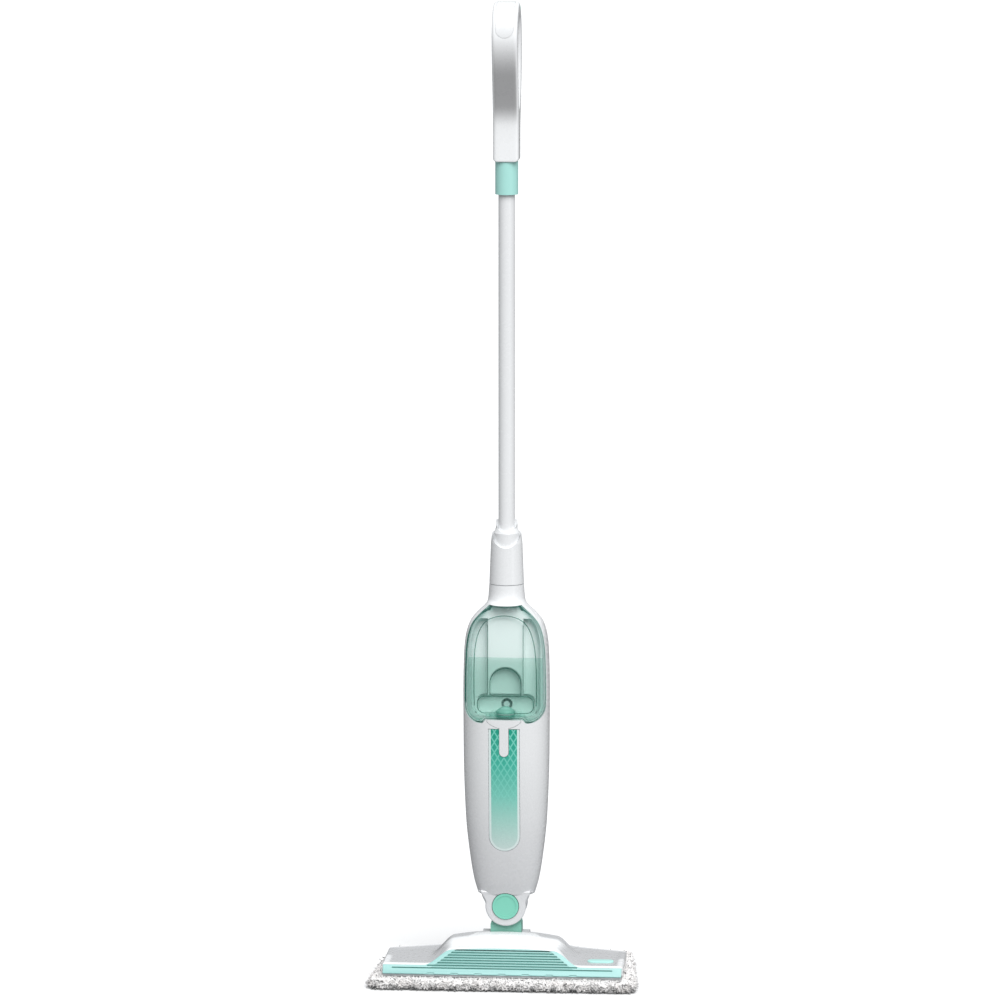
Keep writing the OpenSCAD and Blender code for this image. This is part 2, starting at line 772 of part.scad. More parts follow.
// Domed quarter-turn cap, dished underneath with a bar to turn it by
module tank_cap() {
    color(mint) {
        difference() {
            union() {
                cyl_z(hole_r - 0.35, notch_z + 0.3, notch_z + 5, 0, cap_y);
                translate([0, cap_y, notch_z + 5 - eps]) rotate_extrude() intersection() {
                    translate([0, -7]) circle(sqrt(pow(hole_r - 0.35, 2) + 49));
                    square([20, 10]);
                }
            }
            cyl_z(8.6, notch_z - 1, notch_z + 5, 0, cap_y);
            translate([0, cap_y, notch_z + 1.6]) rotate_extrude() translate([10.2, 0]) square([3, 1.8]);
        }
        block([-8.7, cap_y - 1.2, notch_z + 0.4], [8.7, cap_y + 1.2, notch_z + 5.1]);
    }
}

module tank_cap_seal() {
    color(dark) translate([0, cap_y, notch_z + 2.5])
        rotate_extrude() translate([11, 0]) circle(0.75, $fn = 24);
}

module release_button() {
    color(white) one_mesh() difference() {
        intersection() {
            extrude_y(-60, -36) button_outline();
            body_solid(-0.5, 270, 345);
        }
        body_solid(3.4, 260, 350);
    }
    color(white) block([-4, -42, 319.5], [4, -21, 325]);
}

// ================= tube and handle =================

module tube() {
    color(white) difference() {
        cyl_z(tube_r, tube_z, handle_z + 22);
        cyl_z(tube_r - 1, tube_z - 1, handle_z + 23);
    }
}

ferrule_top = 568.5;
module tube_ferrule() {
    color(white) difference() {
        union() {
            cyl_z(neck_bore_r - run, tube_z + 5, 553);
            translate([0, 0, 553 - eps]) cylinder(r1 = neck_bore_r - run, r2 = 13.2, h = 6);
            cyl_z(13.2, 559 - eps, ferrule_top);
        }
        cyl_z(tube_r + 0.02, tube_z, 600);
        scoop(13.6, ferrule_top - 0.5, 0);
    }
}

// Plug in the tube's end, with the pump rod and its piston
module pump_plunger() {
    color(grey) {
        cyl_z(tube_r - 1.02, tube_z - 4, tube_z + 14);
        cyl_z(4, 436, tube_z - 3.9);
        cyl_z(8, 430, 437);
    }
}

spring_z = 455;
module pump_spring() { color(steel) translate([0, 0, spring_z]) coil(7, 0.9, tube_z - 4 - spring_z, 7); }

module handle_collar() {
    color(mint) difference() {
        union() {
            cyl_z(13.9, handle_z - 40, handle_z + 2);
            cyl_z(12, handle_z, handle_z + 22);
        }
        cyl_z(tube_r + 0.02, handle_z - 50, handle_z + 40);
    }
}

// Side view of the handle: y and height above its lower edge, front edge from bottom to top, then the back
front_edge = [[-15.7, 0], [-15.7, 36], [-17, 52], [-21, 72], [-27, 94], [-33, 116], [-37, 138], [-37.6, 154],
    [-34.5, 168], [-28, 179], [-18, 187.5], [-6, 192.2]];
back_edge = [[6, 193], [18, 190.5], [28, 184], [36, 174], [41, 160], [43.4, 142], [42.6, 122], [38.6, 100],
    [32, 80], [25, 64], [19, 50], [15.7, 36], [15.7, 0]];
// Finger opening of the loop
opening = [[-8, 70], [-14, 94], [-19, 118], [-20.5, 138], [-19.5, 154], [-14.5, 165], [-5, 172.5], [6, 174.5],
    [16, 170], [22, 160], [24.6, 144], [24.4, 124], [21, 104], [14.5, 84], [8, 70], [0, 64.5]];

// One round of corner cutting, which turns a coarse outline into a smooth one
function soften(p, rounds) = rounds == 0 ? p : soften([for (i = [0 : len(p) - 1])
    let (a = p[i], b = p[(i + 1) % len(p)]) each [a * 0.75 + b * 0.25, a * 0.25 + b * 0.75]], rounds - 1);

soft_edge = soften(concat(front_edge, back_edge), 1);
handle_edge = concat([[-15.7, 0]], [for (p = soft_edge) if (p[1] > 4) p], [[15.7, 0]]);
grip_opening = soften(opening, 1);

module handle_outline(inset = 0) {
    difference() {
        offset(-inset) polygon(handle_edge);
        offset(inset) polygon(grip_opening);
    }
}

handle_x = 15.7;
module handle_half() {
    lip = 3.6;
    color(white) translate([0, 0, handle_z]) difference() {
        union() {
            extrude_x(0.02, 11.6) handle_outline();
            extrude_x(11.5, 14) handle_outline(0.8);
            extrude_x(13.9, handle_x) handle_outline(2.2);
        }
        extrude_x(-1, 11.4) handle_outline(lip);
        cyl_z(12.05, -1, 24);
        cyl_z(13.95, -1, 2.05);
        handle_recesses();
        mirror([1, 0, 0]) handle_recesses();
    }
}

// Where the inlay, the grip pad and the cord hook's pivot are let in
module handle_recesses() {
    extrude_x(-1, 11) inlay_outline(1);
    extrude_x(-1, 13.8) grip_area() edge_band(grip_t, 1);
    extrude_x(13.7, 20) grip_area() edge_band(grip_side, 1);
    cyl_y(2.6, 8, 20, 0, hook_rise);
}

module edge_band(depth, beyond = 0) {
    difference() {
        offset(delta = beyond) polygon(handle_edge);
        offset(-depth) polygon(handle_edge);
    }
}
module inlay_outline(beyond = 0) {
    intersection() {
        edge_band(1.6, beyond);
        translate([-45, 151]) square([47, 60]);
    }
}

// Part of the loop that the soft grip wraps: its rear bar and the back of its top
grip_t = 2;
grip_side = 8;
module grip_area(trim = 0) {
    intersection() {
        children();
        translate([8 + trim, 76 + trim]) square([50, 112 - 2 * trim]);
    }
}

module handle_left() { mirror([1, 0, 0]) handle_half(); }
module handle_right() { handle_half(); }

module handle_inlay() {
    color(white) translate([0, 0, handle_z]) extrude_x(-10.8, 10.8) intersection() {
        inlay_outline();
        translate([-45, 151.2]) square([46.8, 60]);
    }
}

module grip_pad() {
    color(mint) translate([0, 0, handle_z]) {
        extrude_x(-11.6, 11.6) grip_area(0.2) edge_band(grip_t - 0.1);
        both_sides() extrude_x(11.5, 13.75) grip_area(0.2) difference() {
            edge_band(grip_t - 0.1);
            edge_band(0.6);
        }
        both_sides() extrude_x(13.72, 15.2) grip_area(0.2) difference() {
            edge_band(grip_side - 0.2);
            edge_band(1.2);
        }
    }
}

handle_screw_spots = [[0, 44], [-7, 181], [31, 152]];
module handle_screws() {
    color(steel) for (p = handle_screw_spots) cyl_x(1.6, -11.3, 11.3, p[0], handle_z + p[1]);
}

hook_rise = 24;
module upper_cord_hook() {
    color(mint) difference() {
        union() {
            translate([0, 0, handle_z + hook_rise]) cord_hook(16.7, 29.6);
            cyl_y(8, 16.7, 20.7, 0, handle_z + hook_rise);
        }
        cyl_y(2.56, 10, 60, 0, handle_z + hook_rise);
    }
}

module hook_screw() {
    color(steel) {
        cyl_y(2.5, 12.6, 21.1, 0, handle_z + hook_rise);
        cyl_y(4.4, 21, 22.5, 0, handle_z + hook_rise);
    }
}

pad();
hook_strips();
base_plate();
head_cover();
front_grille();
head_badge();
steam_diffuser();
head_screws();
pitch_pins();
yoke();
yoke_hose();
front_shell();
rear_shell();
swivel_frame();
roll_pin();
front_pivot_cap();
rear_pivot_cap();
neck_collar();
decor_panel();
tank_bay();
valve_bay();
valve_socket();
boiler();
boiler_element();
thermostat();
terminal_block();
pump_cylinder();
inlet_hose();
outlet_hose();
steam_hose();
wiring();
cord_gland();
lower_cord_hook();
body_screws();
tank_shell();
tank_back();
tank_floor();
tank_valve();
tank_cap();
tank_cap_seal();
release_button();
tube();
tube_ferrule();
pump_plunger();
pump_spring();
handle_collar();
handle_left();
handle_right();
handle_inlay();
grip_pad();
handle_screws();
upper_cord_hook();
hook_screw();
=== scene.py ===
import bpy
import bmesh
import math
import numpy as np
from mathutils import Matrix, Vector


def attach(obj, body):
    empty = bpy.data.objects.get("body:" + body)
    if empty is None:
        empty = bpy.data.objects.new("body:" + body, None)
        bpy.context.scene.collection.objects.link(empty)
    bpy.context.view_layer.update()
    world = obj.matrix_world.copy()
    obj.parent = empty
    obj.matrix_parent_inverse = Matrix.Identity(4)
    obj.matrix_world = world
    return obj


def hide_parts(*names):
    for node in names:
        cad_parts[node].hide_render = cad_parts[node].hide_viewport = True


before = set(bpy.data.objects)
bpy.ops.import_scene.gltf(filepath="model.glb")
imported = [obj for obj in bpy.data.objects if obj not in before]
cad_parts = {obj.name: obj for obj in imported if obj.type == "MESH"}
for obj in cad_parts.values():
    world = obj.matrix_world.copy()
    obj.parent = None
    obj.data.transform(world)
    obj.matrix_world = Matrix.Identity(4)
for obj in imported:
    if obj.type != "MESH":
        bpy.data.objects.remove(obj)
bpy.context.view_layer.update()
scene = bpy.context.scene
scene.view_settings.view_transform = "Standard"
scene.cycles.transparent_max_bounces = 40
MM = 0.001

# ------------------------------------------------------------------ camera

AZIMUTH = math.radians(4.5)
DISTANCE = 7.0
CAM_HEIGHT = 1.65
AIM = Vector((0, 0, 0.6))
cam_data = bpy.data.cameras.new("camera")
cam = bpy.data.objects.new("camera", cam_data)
scene.collection.objects.link(cam)
cam.location = (DISTANCE * math.sin(AZIMUTH), -DISTANCE * math.cos(AZIMUTH), CAM_HEIGHT)
cam.rotation_euler = (AIM - Vector(cam.location)).to_track_quat("-Z", "Y").to_euler()
cam_data.lens = 209.2
cam_data.sensor_width = 36
cam_data.shift_x = -0.0067
cam_data.shift_y = -0.0057
cam_data.clip_end = 60
scene.camera = cam

# ------------------------------------------------------------------ shape helpers


def lerp(a, b, t):
    return a + (b - a) * t


def clamp01(t):
    return min(1.0, max(0.0, t))


def smooth(t):
    t = clamp01(t)
    return t * t * (3 - 2 * t)


def spow(v, e):
    return math.copysign(abs(v) ** e, v)


class Profile:
    """Smooth curve through points that never overshoots them."""

    def __init__(self, xs, ys):
        self.x, self.y = np.array(xs, float), np.array(ys, float)
        h = np.diff(self.x)
        s = np.diff(self.y) / h
        m = np.zeros(len(xs))
        for i in range(1, len(xs) - 1):
            if s[i - 1] * s[i] > 0:
                w1, w2 = 2 * h[i] + h[i - 1], h[i] + 2 * h[i - 1]
                m[i] = (w1 + w2) / (w1 / s[i - 1] + w2 / s[i])
        m[0], m[-1] = s[0], s[-1]
        self.m = m

    def __call__(self, v):
        v = min(max(v, self.x[0]), self.x[-1])
        i = min(int(np.searchsorted(self.x, v, side="right")) - 1, len(self.x) - 2)
        h = self.x[i + 1] - self.x[i]
        t = (v - self.x[i]) / h
        a = (1 + 2 * t) * (1 - t) ** 2 * self.y[i] + t * (1 - t) ** 2 * h * self.m[i]
        return a + t * t * (3 - 2 * t) * self.y[i + 1] + t * t * (t - 1) * h * self.m[i + 1]


def link(name, mesh):
    obj = bpy.data.objects.new(name, mesh)
    scene.collection.objects.link(obj)
    return obj


def mesh_obj(name, verts, faces):
    mesh = bpy.data.meshes.new(name)
    mesh.from_pydata([tuple(c * MM for c in v) for v in verts], [], faces)
    mesh.validate()
    mesh.update()
    return link(name, mesh)


def clean(obj, merge=1e-6):
    bm = bmesh.new()
    bm.from_mesh(obj.data)
    bmesh.ops.remove_doubles(bm, verts=bm.verts, dist=merge)
    bmesh.ops.recalc_face_normals(bm, faces=bm.faces)
    bm.to_mesh(obj.data)
    bm.free()
    return obj


def shade(obj, degrees):
    """Smooth shading with sharp edges above an angle."""
    bm = bmesh.new()
    bm.from_mesh(obj.data)
    limit = math.radians(degrees)
    for e in bm.edges:
        e.smooth = len(e.link_faces) == 2 and e.calc_face_angle(0) < limit
    for f in bm.faces:
        f.smooth = True
    bm.to_mesh(obj.data)
    bm.free()
    return obj


def take(obj):
    """Applies an object's modifiers."""
    deps = bpy.context.evaluated_depsgraph_get()
    mesh = bpy.data.meshes.new_from_object(obj.evaluated_get(deps))
    old = obj.data
    obj.modifiers.clear()
    obj.data = mesh
    if old.users == 0:
        bpy.data.meshes.remove(old)
    return obj


def boolean(obj, cutter, op="DIFFERENCE", materials="INDEX"):
    """Cuts, joins or intersects an object with a cutter, which is used up."""
    mod = obj.modifiers.new("b", "BOOLEAN")
    mod.operation = op
    mod.solver = "EXACT"
    mod.material_mode = materials
    mod.object = cutter
    take(obj)
    bpy.data.objects.remove(cutter)
    return obj


def rings_obj(name, rings):
    """Closed solid through rings of points of equal count."""
    n = len(rings[0])
    verts = [p for r in rings for p in r]
    faces = []
    for j in range(len(rings) - 1):
        for i in range(n):
            a, b = j * n + i, j * n + (i + 1) % n
            faces.append((a, b, b + n, a + n))
    faces.append(tuple(range(n - 1, -1, -1)))
    faces.append(tuple(range((len(rings) - 1) * n, len(rings) * n)))
    return clean(mesh_obj(name, verts, faces))


def prism(name, pts, lo, hi, axis="Y"):
    """Solid with flat ends: a 2D outline in (x, z) run along Y, in (y, z) along X, or in (x, y) along Z."""
    put = {"X": lambda u, v, w: (w, u, v), "Y": lambda u, v, w: (u, w, v), "Z": lambda u, v, w: (u, v, w)}[axis]
    n = len(pts)
    verts = [put(u, v, lo) for u, v in pts] + [put(u, v, hi) for u, v in pts]
    faces = [tuple(range(n)), tuple(range(2 * n - 1, n - 1, -1))]
    faces += [(i, (i + 1) % n, n + (i + 1) % n, n + i) for i in range(n)]
    return clean(mesh_obj(name, verts, faces))


def plate(name, loops, lo, hi, edge, axis="X", steps=4):
    """Solid with rounded edges from closed 2D loops (the first is the outside, the others are holes)."""
    cu = bpy.data.curves.new(name, "CURVE")
    cu.dimensions = "2D"
    cu.fill_mode = "BOTH"
    for loop in loops:
        sp = cu.splines.new("POLY")
        sp.points.add(len(loop) - 1)
        for k, (u, v) in enumerate(loop):
            sp.points[k].co = (u * MM, v * MM, 0, 1)
        sp.use_cyclic_u = True
    cu.extrude = ((hi - lo) / 2 - edge) * MM
    cu.bevel_depth = edge * MM
    cu.bevel_resolution = steps
    cu.offset = -edge * MM
    tmp = bpy.data.objects.new(name, cu)
    scene.collection.objects.link(tmp)
    deps = bpy.context.evaluated_depsgraph_get()
    mesh = bpy.data.meshes.new_from_object(tmp.evaluated_get(deps))
    bpy.data.objects.remove(tmp)
    mid = (lo + hi) / 2 * MM
    put = {"X": lambda c: (c[2] + mid, c[0], c[1]), "Y": lambda c: (c[0], -c[2] + mid, c[1]),
           "Z": lambda c: (c[0], c[1], c[2] + mid)}[axis]
    for v in mesh.vertices:
        v.co = put(v.co)
    return clean(link(name, mesh), 2e-6)


def lathe(name, profile, centre, axis="Z", steps=72):
    """Turned solid. profile is (radius, height along the axis) from end to end, both ends on the axis or closed."""
    rings = []
    for r, h in profile:
        ring = []
        for k in range(steps):
            t = 2 * math.pi * k / steps
            c, s = r * math.cos(t), r * math.sin(t)
            p = {"Z": (c, s, h), "Y": (c, h, s), "X": (h, c, s)}[axis]
            ring.append((p[0] + centre[0], p[1] + centre[1], p[2] + centre[2]))
        rings.append(ring)
    return rings_obj(name, rings)


def chaikin(pts, rounds, closed=True):
    for _ in range(rounds):
        out = []
        n = len(pts)
        for i in range(n if closed else n - 1):
            a, b = pts[i], pts[(i + 1) % n]
            out.append((a[0] * 0.75 + b[0] * 0.25, a[1] * 0.75 + b[1] * 0.25))
            out.append((a[0] * 0.25 + b[0] * 0.75, a[1] * 0.25 + b[1] * 0.75))
        pts = out
    return pts


def circle_pts(x, z, r, n=48, a0=0, a1=360):
    return [(x + r * math.cos(math.radians(a0 + (a1 - a0) * k / n)),
             z + r * math.sin(math.radians(a0 + (a1 - a0) * k / n))) for k in range(n + (a1 - a0 < 360))]


def round_rect(x0, z0, x1, z1, r, n=8):
    pts = []
    for cx, cz, a in ((x1 - r, z1 - r, 0), (x0 + r, z1 - r, 90), (x0 + r, z0 + r, 180), (x1 - r, z0 + r, 270)):
        pts += [(cx + r * math.cos(math.radians(a + 90 * k / n)), cz + r * math.sin(math.radians(a + 90 * k / n)))
                for k in range(n + 1)]
    return pts


def resample(pts, step, closed=True):
    """Points at about even spacing along a polyline."""
    loop = pts + [pts[0]] if closed else pts
    out = []
    for a, b in zip(loop, loop[1:]):
        d = math.hypot(b[0] - a[0], b[1] - a[1])
        k = max(1, int(round(d / step)))
        out += [(lerp(a[0], b[0], i / k), lerp(a[1], b[1], i / k)) for i in range(k)]
    return out if closed else out + [pts[-1]]


# ------------------------------------------------------------------ materials


class Mat:
    """Builds a node material round one principled shader."""

    def __init__(self, name, color, rough=0.4, **sockets):
        self.m = bpy.data.materials.new(name)
        self.m.use_nodes = True
        self.nt = self.m.node_tree
        self.bsdf = self.nt.nodes["Principled BSDF"]
        self.bsdf.inputs["Base Color"].default_value = (*color, 1)
        self.bsdf.inputs["Roughness"].default_value = rough
        for k, v in sockets.items():
            self.bsdf.inputs[k.replace("_", " ")].default_value = v
        self.m.diffuse_color = (*color, 1)
        self._coords = None

    def node(self, kind, **props):
        n = self.nt.nodes.new(kind)
        for k, v in props.items():
            setattr(n, k, v)
        return n

    def wire(self, a, b):
        self.nt.links.new(a, b)

    def coords(self):
        if self._coords is None:
            self._coords = self.node("ShaderNodeTexCoord").outputs["Object"]
        return self._coords

    def noise(self, scale, detail=3.0, rough=0.5, vector=None):
        n = self.node("ShaderNodeTexNoise")
        n.inputs["Scale"].default_value = scale
        n.inputs["Detail"].default_value = detail
        n.inputs["Roughness"].default_value = rough
        self.wire(vector or self.coords(), n.inputs["Vector"])
        return n.outputs["Fac"]

    def ramp(self, fac, stops):
        n = self.node("ShaderNodeValToRGB")
        els = n.color_ramp.elements
        while len(els) < len(stops):
            els.new(0.5)
        for e, (pos, col) in zip(els, stops):
            e.position = pos
            e.color = (*col, 1) if len(col) == 3 else col
        self.wire(fac, n.inputs["Fac"])
        return n.outputs["Color"]

    def math(self, op, a, b=None):
        n = self.node("ShaderNodeMath", operation=op)
        for k, v in enumerate((a, b)):
            if v is None:
                continue
            if isinstance(v, (int, float)):
                n.inputs[k].default_value = v
            else:
                self.wire(v, n.inputs[k])
        return n.outputs[0]

    def span(self, v, a, b, c=0.0, d=1.0):
        n = self.node("ShaderNodeMapRange", clamp=True)
        self.wire(v, n.inputs["Value"])
        for k, x in zip(("From Min", "From Max", "To Min", "To Max"), (a, b, c, d)):
            n.inputs[k].default_value = x
        return n.outputs["Result"]

    def mix(self, fac, a, b):
        """Mixes two colours; 6 and 7 are the colour inputs of a Mix node and 2 its colour output."""
        n = self.node("ShaderNodeMix", data_type="RGBA")
        for k, v in ((0, fac), (6, a), (7, b)):
            if isinstance(v, (int, float)):
                n.inputs[k].default_value = v
            elif isinstance(v, tuple):
                n.inputs[k].default_value = (*v, 1)
            else:
                self.wire(v, n.inputs[k])
        return n.outputs[2]

    def xyz(self):
        n = self.node("ShaderNodeSeparateXYZ")
        self.wire(self.coords(), n.inputs[0])
        return n.outputs[0], n.outputs[1], n.outputs[2]

    def color(self, socket):
        self.wire(socket, self.bsdf.inputs["Base Color"])

    def rough(self, socket):
        self.wire(socket, self.bsdf.inputs["Roughness"])

    def bump(self, height, strength=0.2, distance=0.001):
        n = self.node("ShaderNodeBump")
        n.inputs["Strength"].default_value = strength
        n.inputs["Distance"].default_value = distance
        self.wire(height, n.inputs["Height"])
        self.wire(n.outputs["Normal"], self.bsdf.inputs["Normal"])

    def grain(self, strength):
        """Fine texture of a moulded surface."""
        self.bump(self.noise(900.0, 2.0), strength, 0.0004)

    def surface(self, fac, a, b):
        """Makes a mix of two shaders the material's surface."""
        mixer = self.node("ShaderNodeMixShader")
        for k, v in enumerate((fac, a, b)):
            self.wire(v, mixer.inputs[k])
        self.wire(mixer.outputs[0], self.nt.nodes["Material Output"].inputs["Surface"])


def moulded(name, color, rough=0.3, grain=0.03, coat=0.25, tint=0.04):
    """Moulded plastic: slight colour drift, fine texture and a soft clear surface."""
    m = Mat(name, color, rough, Coat_Weight=coat, Coat_Roughness=0.12, Specular_IOR_Level=0.5)
    drift = m.noise(9.0, 2.0)
    dark = tuple(c * (1 - tint) for c in color)
    lite = tuple(min(1.0, c * (1 + tint * 0.6)) for c in color)
    m.color(m.ramp(drift, [(0.3, dark), (0.7, lite)]))
    wear = m.noise(160.0, 4.0, 0.6)
    m.rough(m.span(wear, 0.3, 0.7, max(0.02, rough - 0.05), rough + 0.07))
    m.grain(grain)
    return m.m


def rubbery(name, color, rough=0.65):
    m = Mat(name, color, rough, Specular_IOR_Level=0.35)
    dull, bright = (tuple(c * k for c in color) for k in (0.85, 1.12))
    m.color(m.ramp(m.noise(40.0, 3.0), [(0.3, dull), (0.7, bright)]))
    m.bump(m.noise(1400.0, 3.0), 0.15, 0.0005)
    return m.m


def metal(name, color, rough=0.3, streak=(1, 1, 1)):
    m = Mat(name, color, rough, Metallic=1.0)
    mp = m.node("ShaderNodeMapping")
    mp.inputs["Scale"].default_value = streak
    m.wire(m.coords(), mp.inputs["Vector"])
    n = m.noise(300.0, 4.0, 0.6, mp.outputs["Vector"])
    m.rough(m.span(n, 0.2, 0.8, rough - 0.1, rough + 0.15))
    m.color(m.ramp(n, [(0.2, tuple(c * 0.88 for c in color)), (0.8, color)]))
    m.bump(n, 0.06, 0.0003)
    return m.m


WHITE = (0.82, 0.83, 0.84)
white_plastic = moulded("white_plastic", WHITE, 0.26, 0.02, 0.4, 0.02)
# bay_plastic is brighter than the body's white: partly the bay's own white, partly a painted highlight seen through
# the tank
bay_plastic = moulded("bay_plastic", (0.94, 0.95, 0.95), 0.4, 0.05, 0.05, 0.02)
pale_grey = moulded("pale_grey", (0.60, 0.61, 0.63), 0.45, 0.05, 0.1, 0.03)
pale_mint = moulded("pale_mint", (0.42, 0.78, 0.72), 0.34, 0.03, 0.2, 0.04)
mint = moulded("mint", (0.23, 0.64, 0.50), 0.32, 0.03, 0.25, 0.05)
# a darker copy of the mint for the yoke: painted shade, as the yoke sits under the body
yoke_shaded_mint = moulded("yoke_shaded_mint", (0.19, 0.46, 0.37), 0.36, 0.03, 0.15, 0.05)
grip_mint = rubbery("grip_mint", (0.27, 0.68, 0.57), 0.5)
grey_plastic = moulded("grey_plastic", (0.22, 0.235, 0.245), 0.5, 0.1, 0.0, 0.08)
dark_plastic = moulded("dark_plastic", (0.03, 0.033, 0.036), 0.5, 0.1, 0.0, 0.1)
dark_rubber = rubbery("dark_rubber", (0.02, 0.021, 0.023))
hose_rubber = rubbery("hose_rubber", (0.6, 0.64, 0.64), 0.45)
wire_rubber = rubbery("wire_rubber", (0.3, 0.3, 0.33), 0.5)
steel = metal("steel", (0.62, 0.63, 0.65), 0.28, (1, 1, 0.1))
alloy = metal("cast_alloy", (0.55, 0.56, 0.57), 0.5)
tube_paint = moulded("tube_paint", (0.84, 0.85, 0.86), 0.24, 0.015, 0.5, 0.015)


def body_white():
    """The body's white gloss, greyer towards its foot: painted shade where the lower body turns in and down."""
    m = Mat("body_white", WHITE, 0.26, Coat_Weight=0.4, Coat_Roughness=0.12)
    z = m.xyz()[2]
    # painted shade: the colour darkens from white at 0.30 m down to grey at the foot
    painted_foot_shade = m.ramp(m.span(z, 0.08, 0.30), [(0.0, (0.66, 0.665, 0.68)), (0.3, (0.69, 0.695, 0.71)),
                                          (0.75, (0.79, 0.80, 0.81)), (1.0, WHITE)])
    m.color(m.mix(m.span(m.noise(9.0, 2.0), 0.3, 0.7, 0.0, 0.1), painted_foot_shade, (0.80, 0.81, 0.83)))
    m.rough(m.span(m.noise(160.0, 4.0, 0.6), 0.3, 0.7, 0.21, 0.33))
    m.grain(0.02)
    return m.m


def white_with_painted_shade(name, attribute, dark, white=WHITE):
    """White gloss with painted shade: it turns into the dark colour where the piece's own attribute says so."""
    m = Mat(name, white, 0.28, Coat_Weight=0.35, Coat_Roughness=0.12)
    at = m.node("ShaderNodeAttribute", attribute_name=attribute)
    drift = m.ramp(m.noise(9.0, 2.0), [(0.3, tuple(c * 0.98 for c in white)), (0.7, white)])
    m.color(m.mix(at.outputs["Fac"], drift, dark))
    m.rough(m.span(m.noise(160.0, 4.0, 0.6), 0.3, 0.7, 0.23, 0.35))
    m.grain(0.02)
    return m.m


def mark(obj, name, value):
    """Stores value(x, y, z), in millimetres, on every point of a mesh."""
    at = obj.data.attributes.new(name, "FLOAT", "POINT")
    for i, v in enumerate(obj.data.vertices):
        at.data[i].value = value(*(v.co / MM))


def hook_tape():
    m = Mat("hook_tape", (0.02, 0.02, 0.022), 0.9)
    v = m.node("ShaderNodeTexVoronoi")
    v.inputs["Scale"].default_value = 900
    m.wire(m.coords(), v.inputs["Vector"])
    m.bump(v.outputs["Distance"], 0.8, 0.001)
    m.color(m.ramp(m.noise(120, 2), [(0.3, (0.012, 0.012, 0.014)), (0.7, (0.04, 0.04, 0.045))]))
    return m.m


def clear_plastic(name, tint, edge, least, most, rough=0.04, blend=0.35):
    """Thin clear moulding: a tinted see-through wall that turns glossy and darker where it is seen edge on."""
    m = Mat(name, edge, rough, Coat_Weight=0.6, Coat_Roughness=0.03)
    m.color(m.ramp(m.noise(20.0, 2.0), [(0.3, tuple(c * 0.9 for c in edge)), (0.7, edge)]))
    m.rough(m.span(m.noise(90.0, 3.0), 0.3, 0.7, rough * 0.6, rough * 1.6))
    see = m.node("ShaderNodeBsdfTransparent")
    see.inputs["Color"].default_value = (*tint, 1)
    weight = m.node("ShaderNodeLayerWeight")
    weight.inputs["Blend"].default_value = blend
    m.surface(m.span(weight.outputs["Facing"], 0.15, 0.95, least, most), see.outputs[0], m.bsdf.outputs[0])
    return m.m


clear_green = clear_plastic("clear_green", (0.98, 0.999, 0.995), (0.13, 0.50, 0.42), 0.01, 0.45)
clear_back = clear_plastic("clear_back", (0.99, 0.999, 0.997), (0.10, 0.45, 0.38), 0.0, 0.4, blend=0.2)
# clear_edge, the darkest clear green, colours the beads drawn on the tank: painted refraction and reflection
clear_edge = clear_plastic("clear_edge", (0.45, 0.72, 0.66), (0.015, 0.16, 0.12), 0.35, 0.8)
water_mat = clear_plastic("water", (0.86, 0.925, 0.905), (0.20, 0.55, 0.48), 0.0, 0.12, 0.01)

cap_mint = moulded("cap_mint", (0.34, 0.58, 0.52), 0.35, 0.03, 0.2, 0.04)

# looks of the CAD nodes that are shown as they are
NODE_LOOKS = {
    "hook_strips": hook_tape(), "base_plate": pale_grey, "steam_diffuser": dark_plastic, "head_screws": steel,
    "pitch_pins": steel, "yoke": yoke_shaded_mint, "yoke_hose": dark_rubber, "swivel_frame": pale_grey, "roll_pin": steel,
    "neck_collar": white_plastic, "tank_bay": bay_plastic, "valve_bay": bay_plastic, "valve_socket": hose_rubber,
    "boiler": alloy, "boiler_element": dark_plastic, "thermostat": dark_plastic, "terminal_block": white_plastic,
    "pump_cylinder": grey_plastic, "inlet_hose": hose_rubber, "outlet_hose": hose_rubber, "steam_hose": dark_rubber,
    "wiring": wire_rubber, "cord_gland": dark_rubber, "lower_cord_hook": pale_mint, "body_screws": steel,
    "tank_back": clear_back, "tank_floor": clear_green, "tank_valve": white_plastic, "tank_cap": cap_mint,
    "tank_cap_seal": hose_rubber, "tube": tube_paint, "tube_ferrule": white_plastic, "pump_plunger": grey_plastic,
    "pump_spring": steel, "handle_collar": pale_mint, "handle_screws": steel, "upper_cord_hook": pale_mint,
    "hook_screw": steel, "front_pivot_cap": mint, "rear_pivot_cap": mint, "handle_inlay": white_plastic,
}


def paint(obj, material):
    if not obj.material_slots:
        obj.data.materials.append(material)
    for s in obj.material_slots:
        s.material = material
    return obj


for node_name, look in NODE_LOOKS.items():
    paint(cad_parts[node_name], look)


def piece(obj, body, material, slot, *nodes, angle=32):
    """Finishes a new piece: shading, material, body and the CAD nodes it stands for, which it hides; slot is not
    used.
    """
    shade(obj, angle)
    if material is not None:
        obj.data.materials.clear()
        obj.data.materials.append(material)
    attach(obj, body)
    if nodes:
        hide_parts(*nodes)
    return obj


# ------------------------------------------------------------------ body

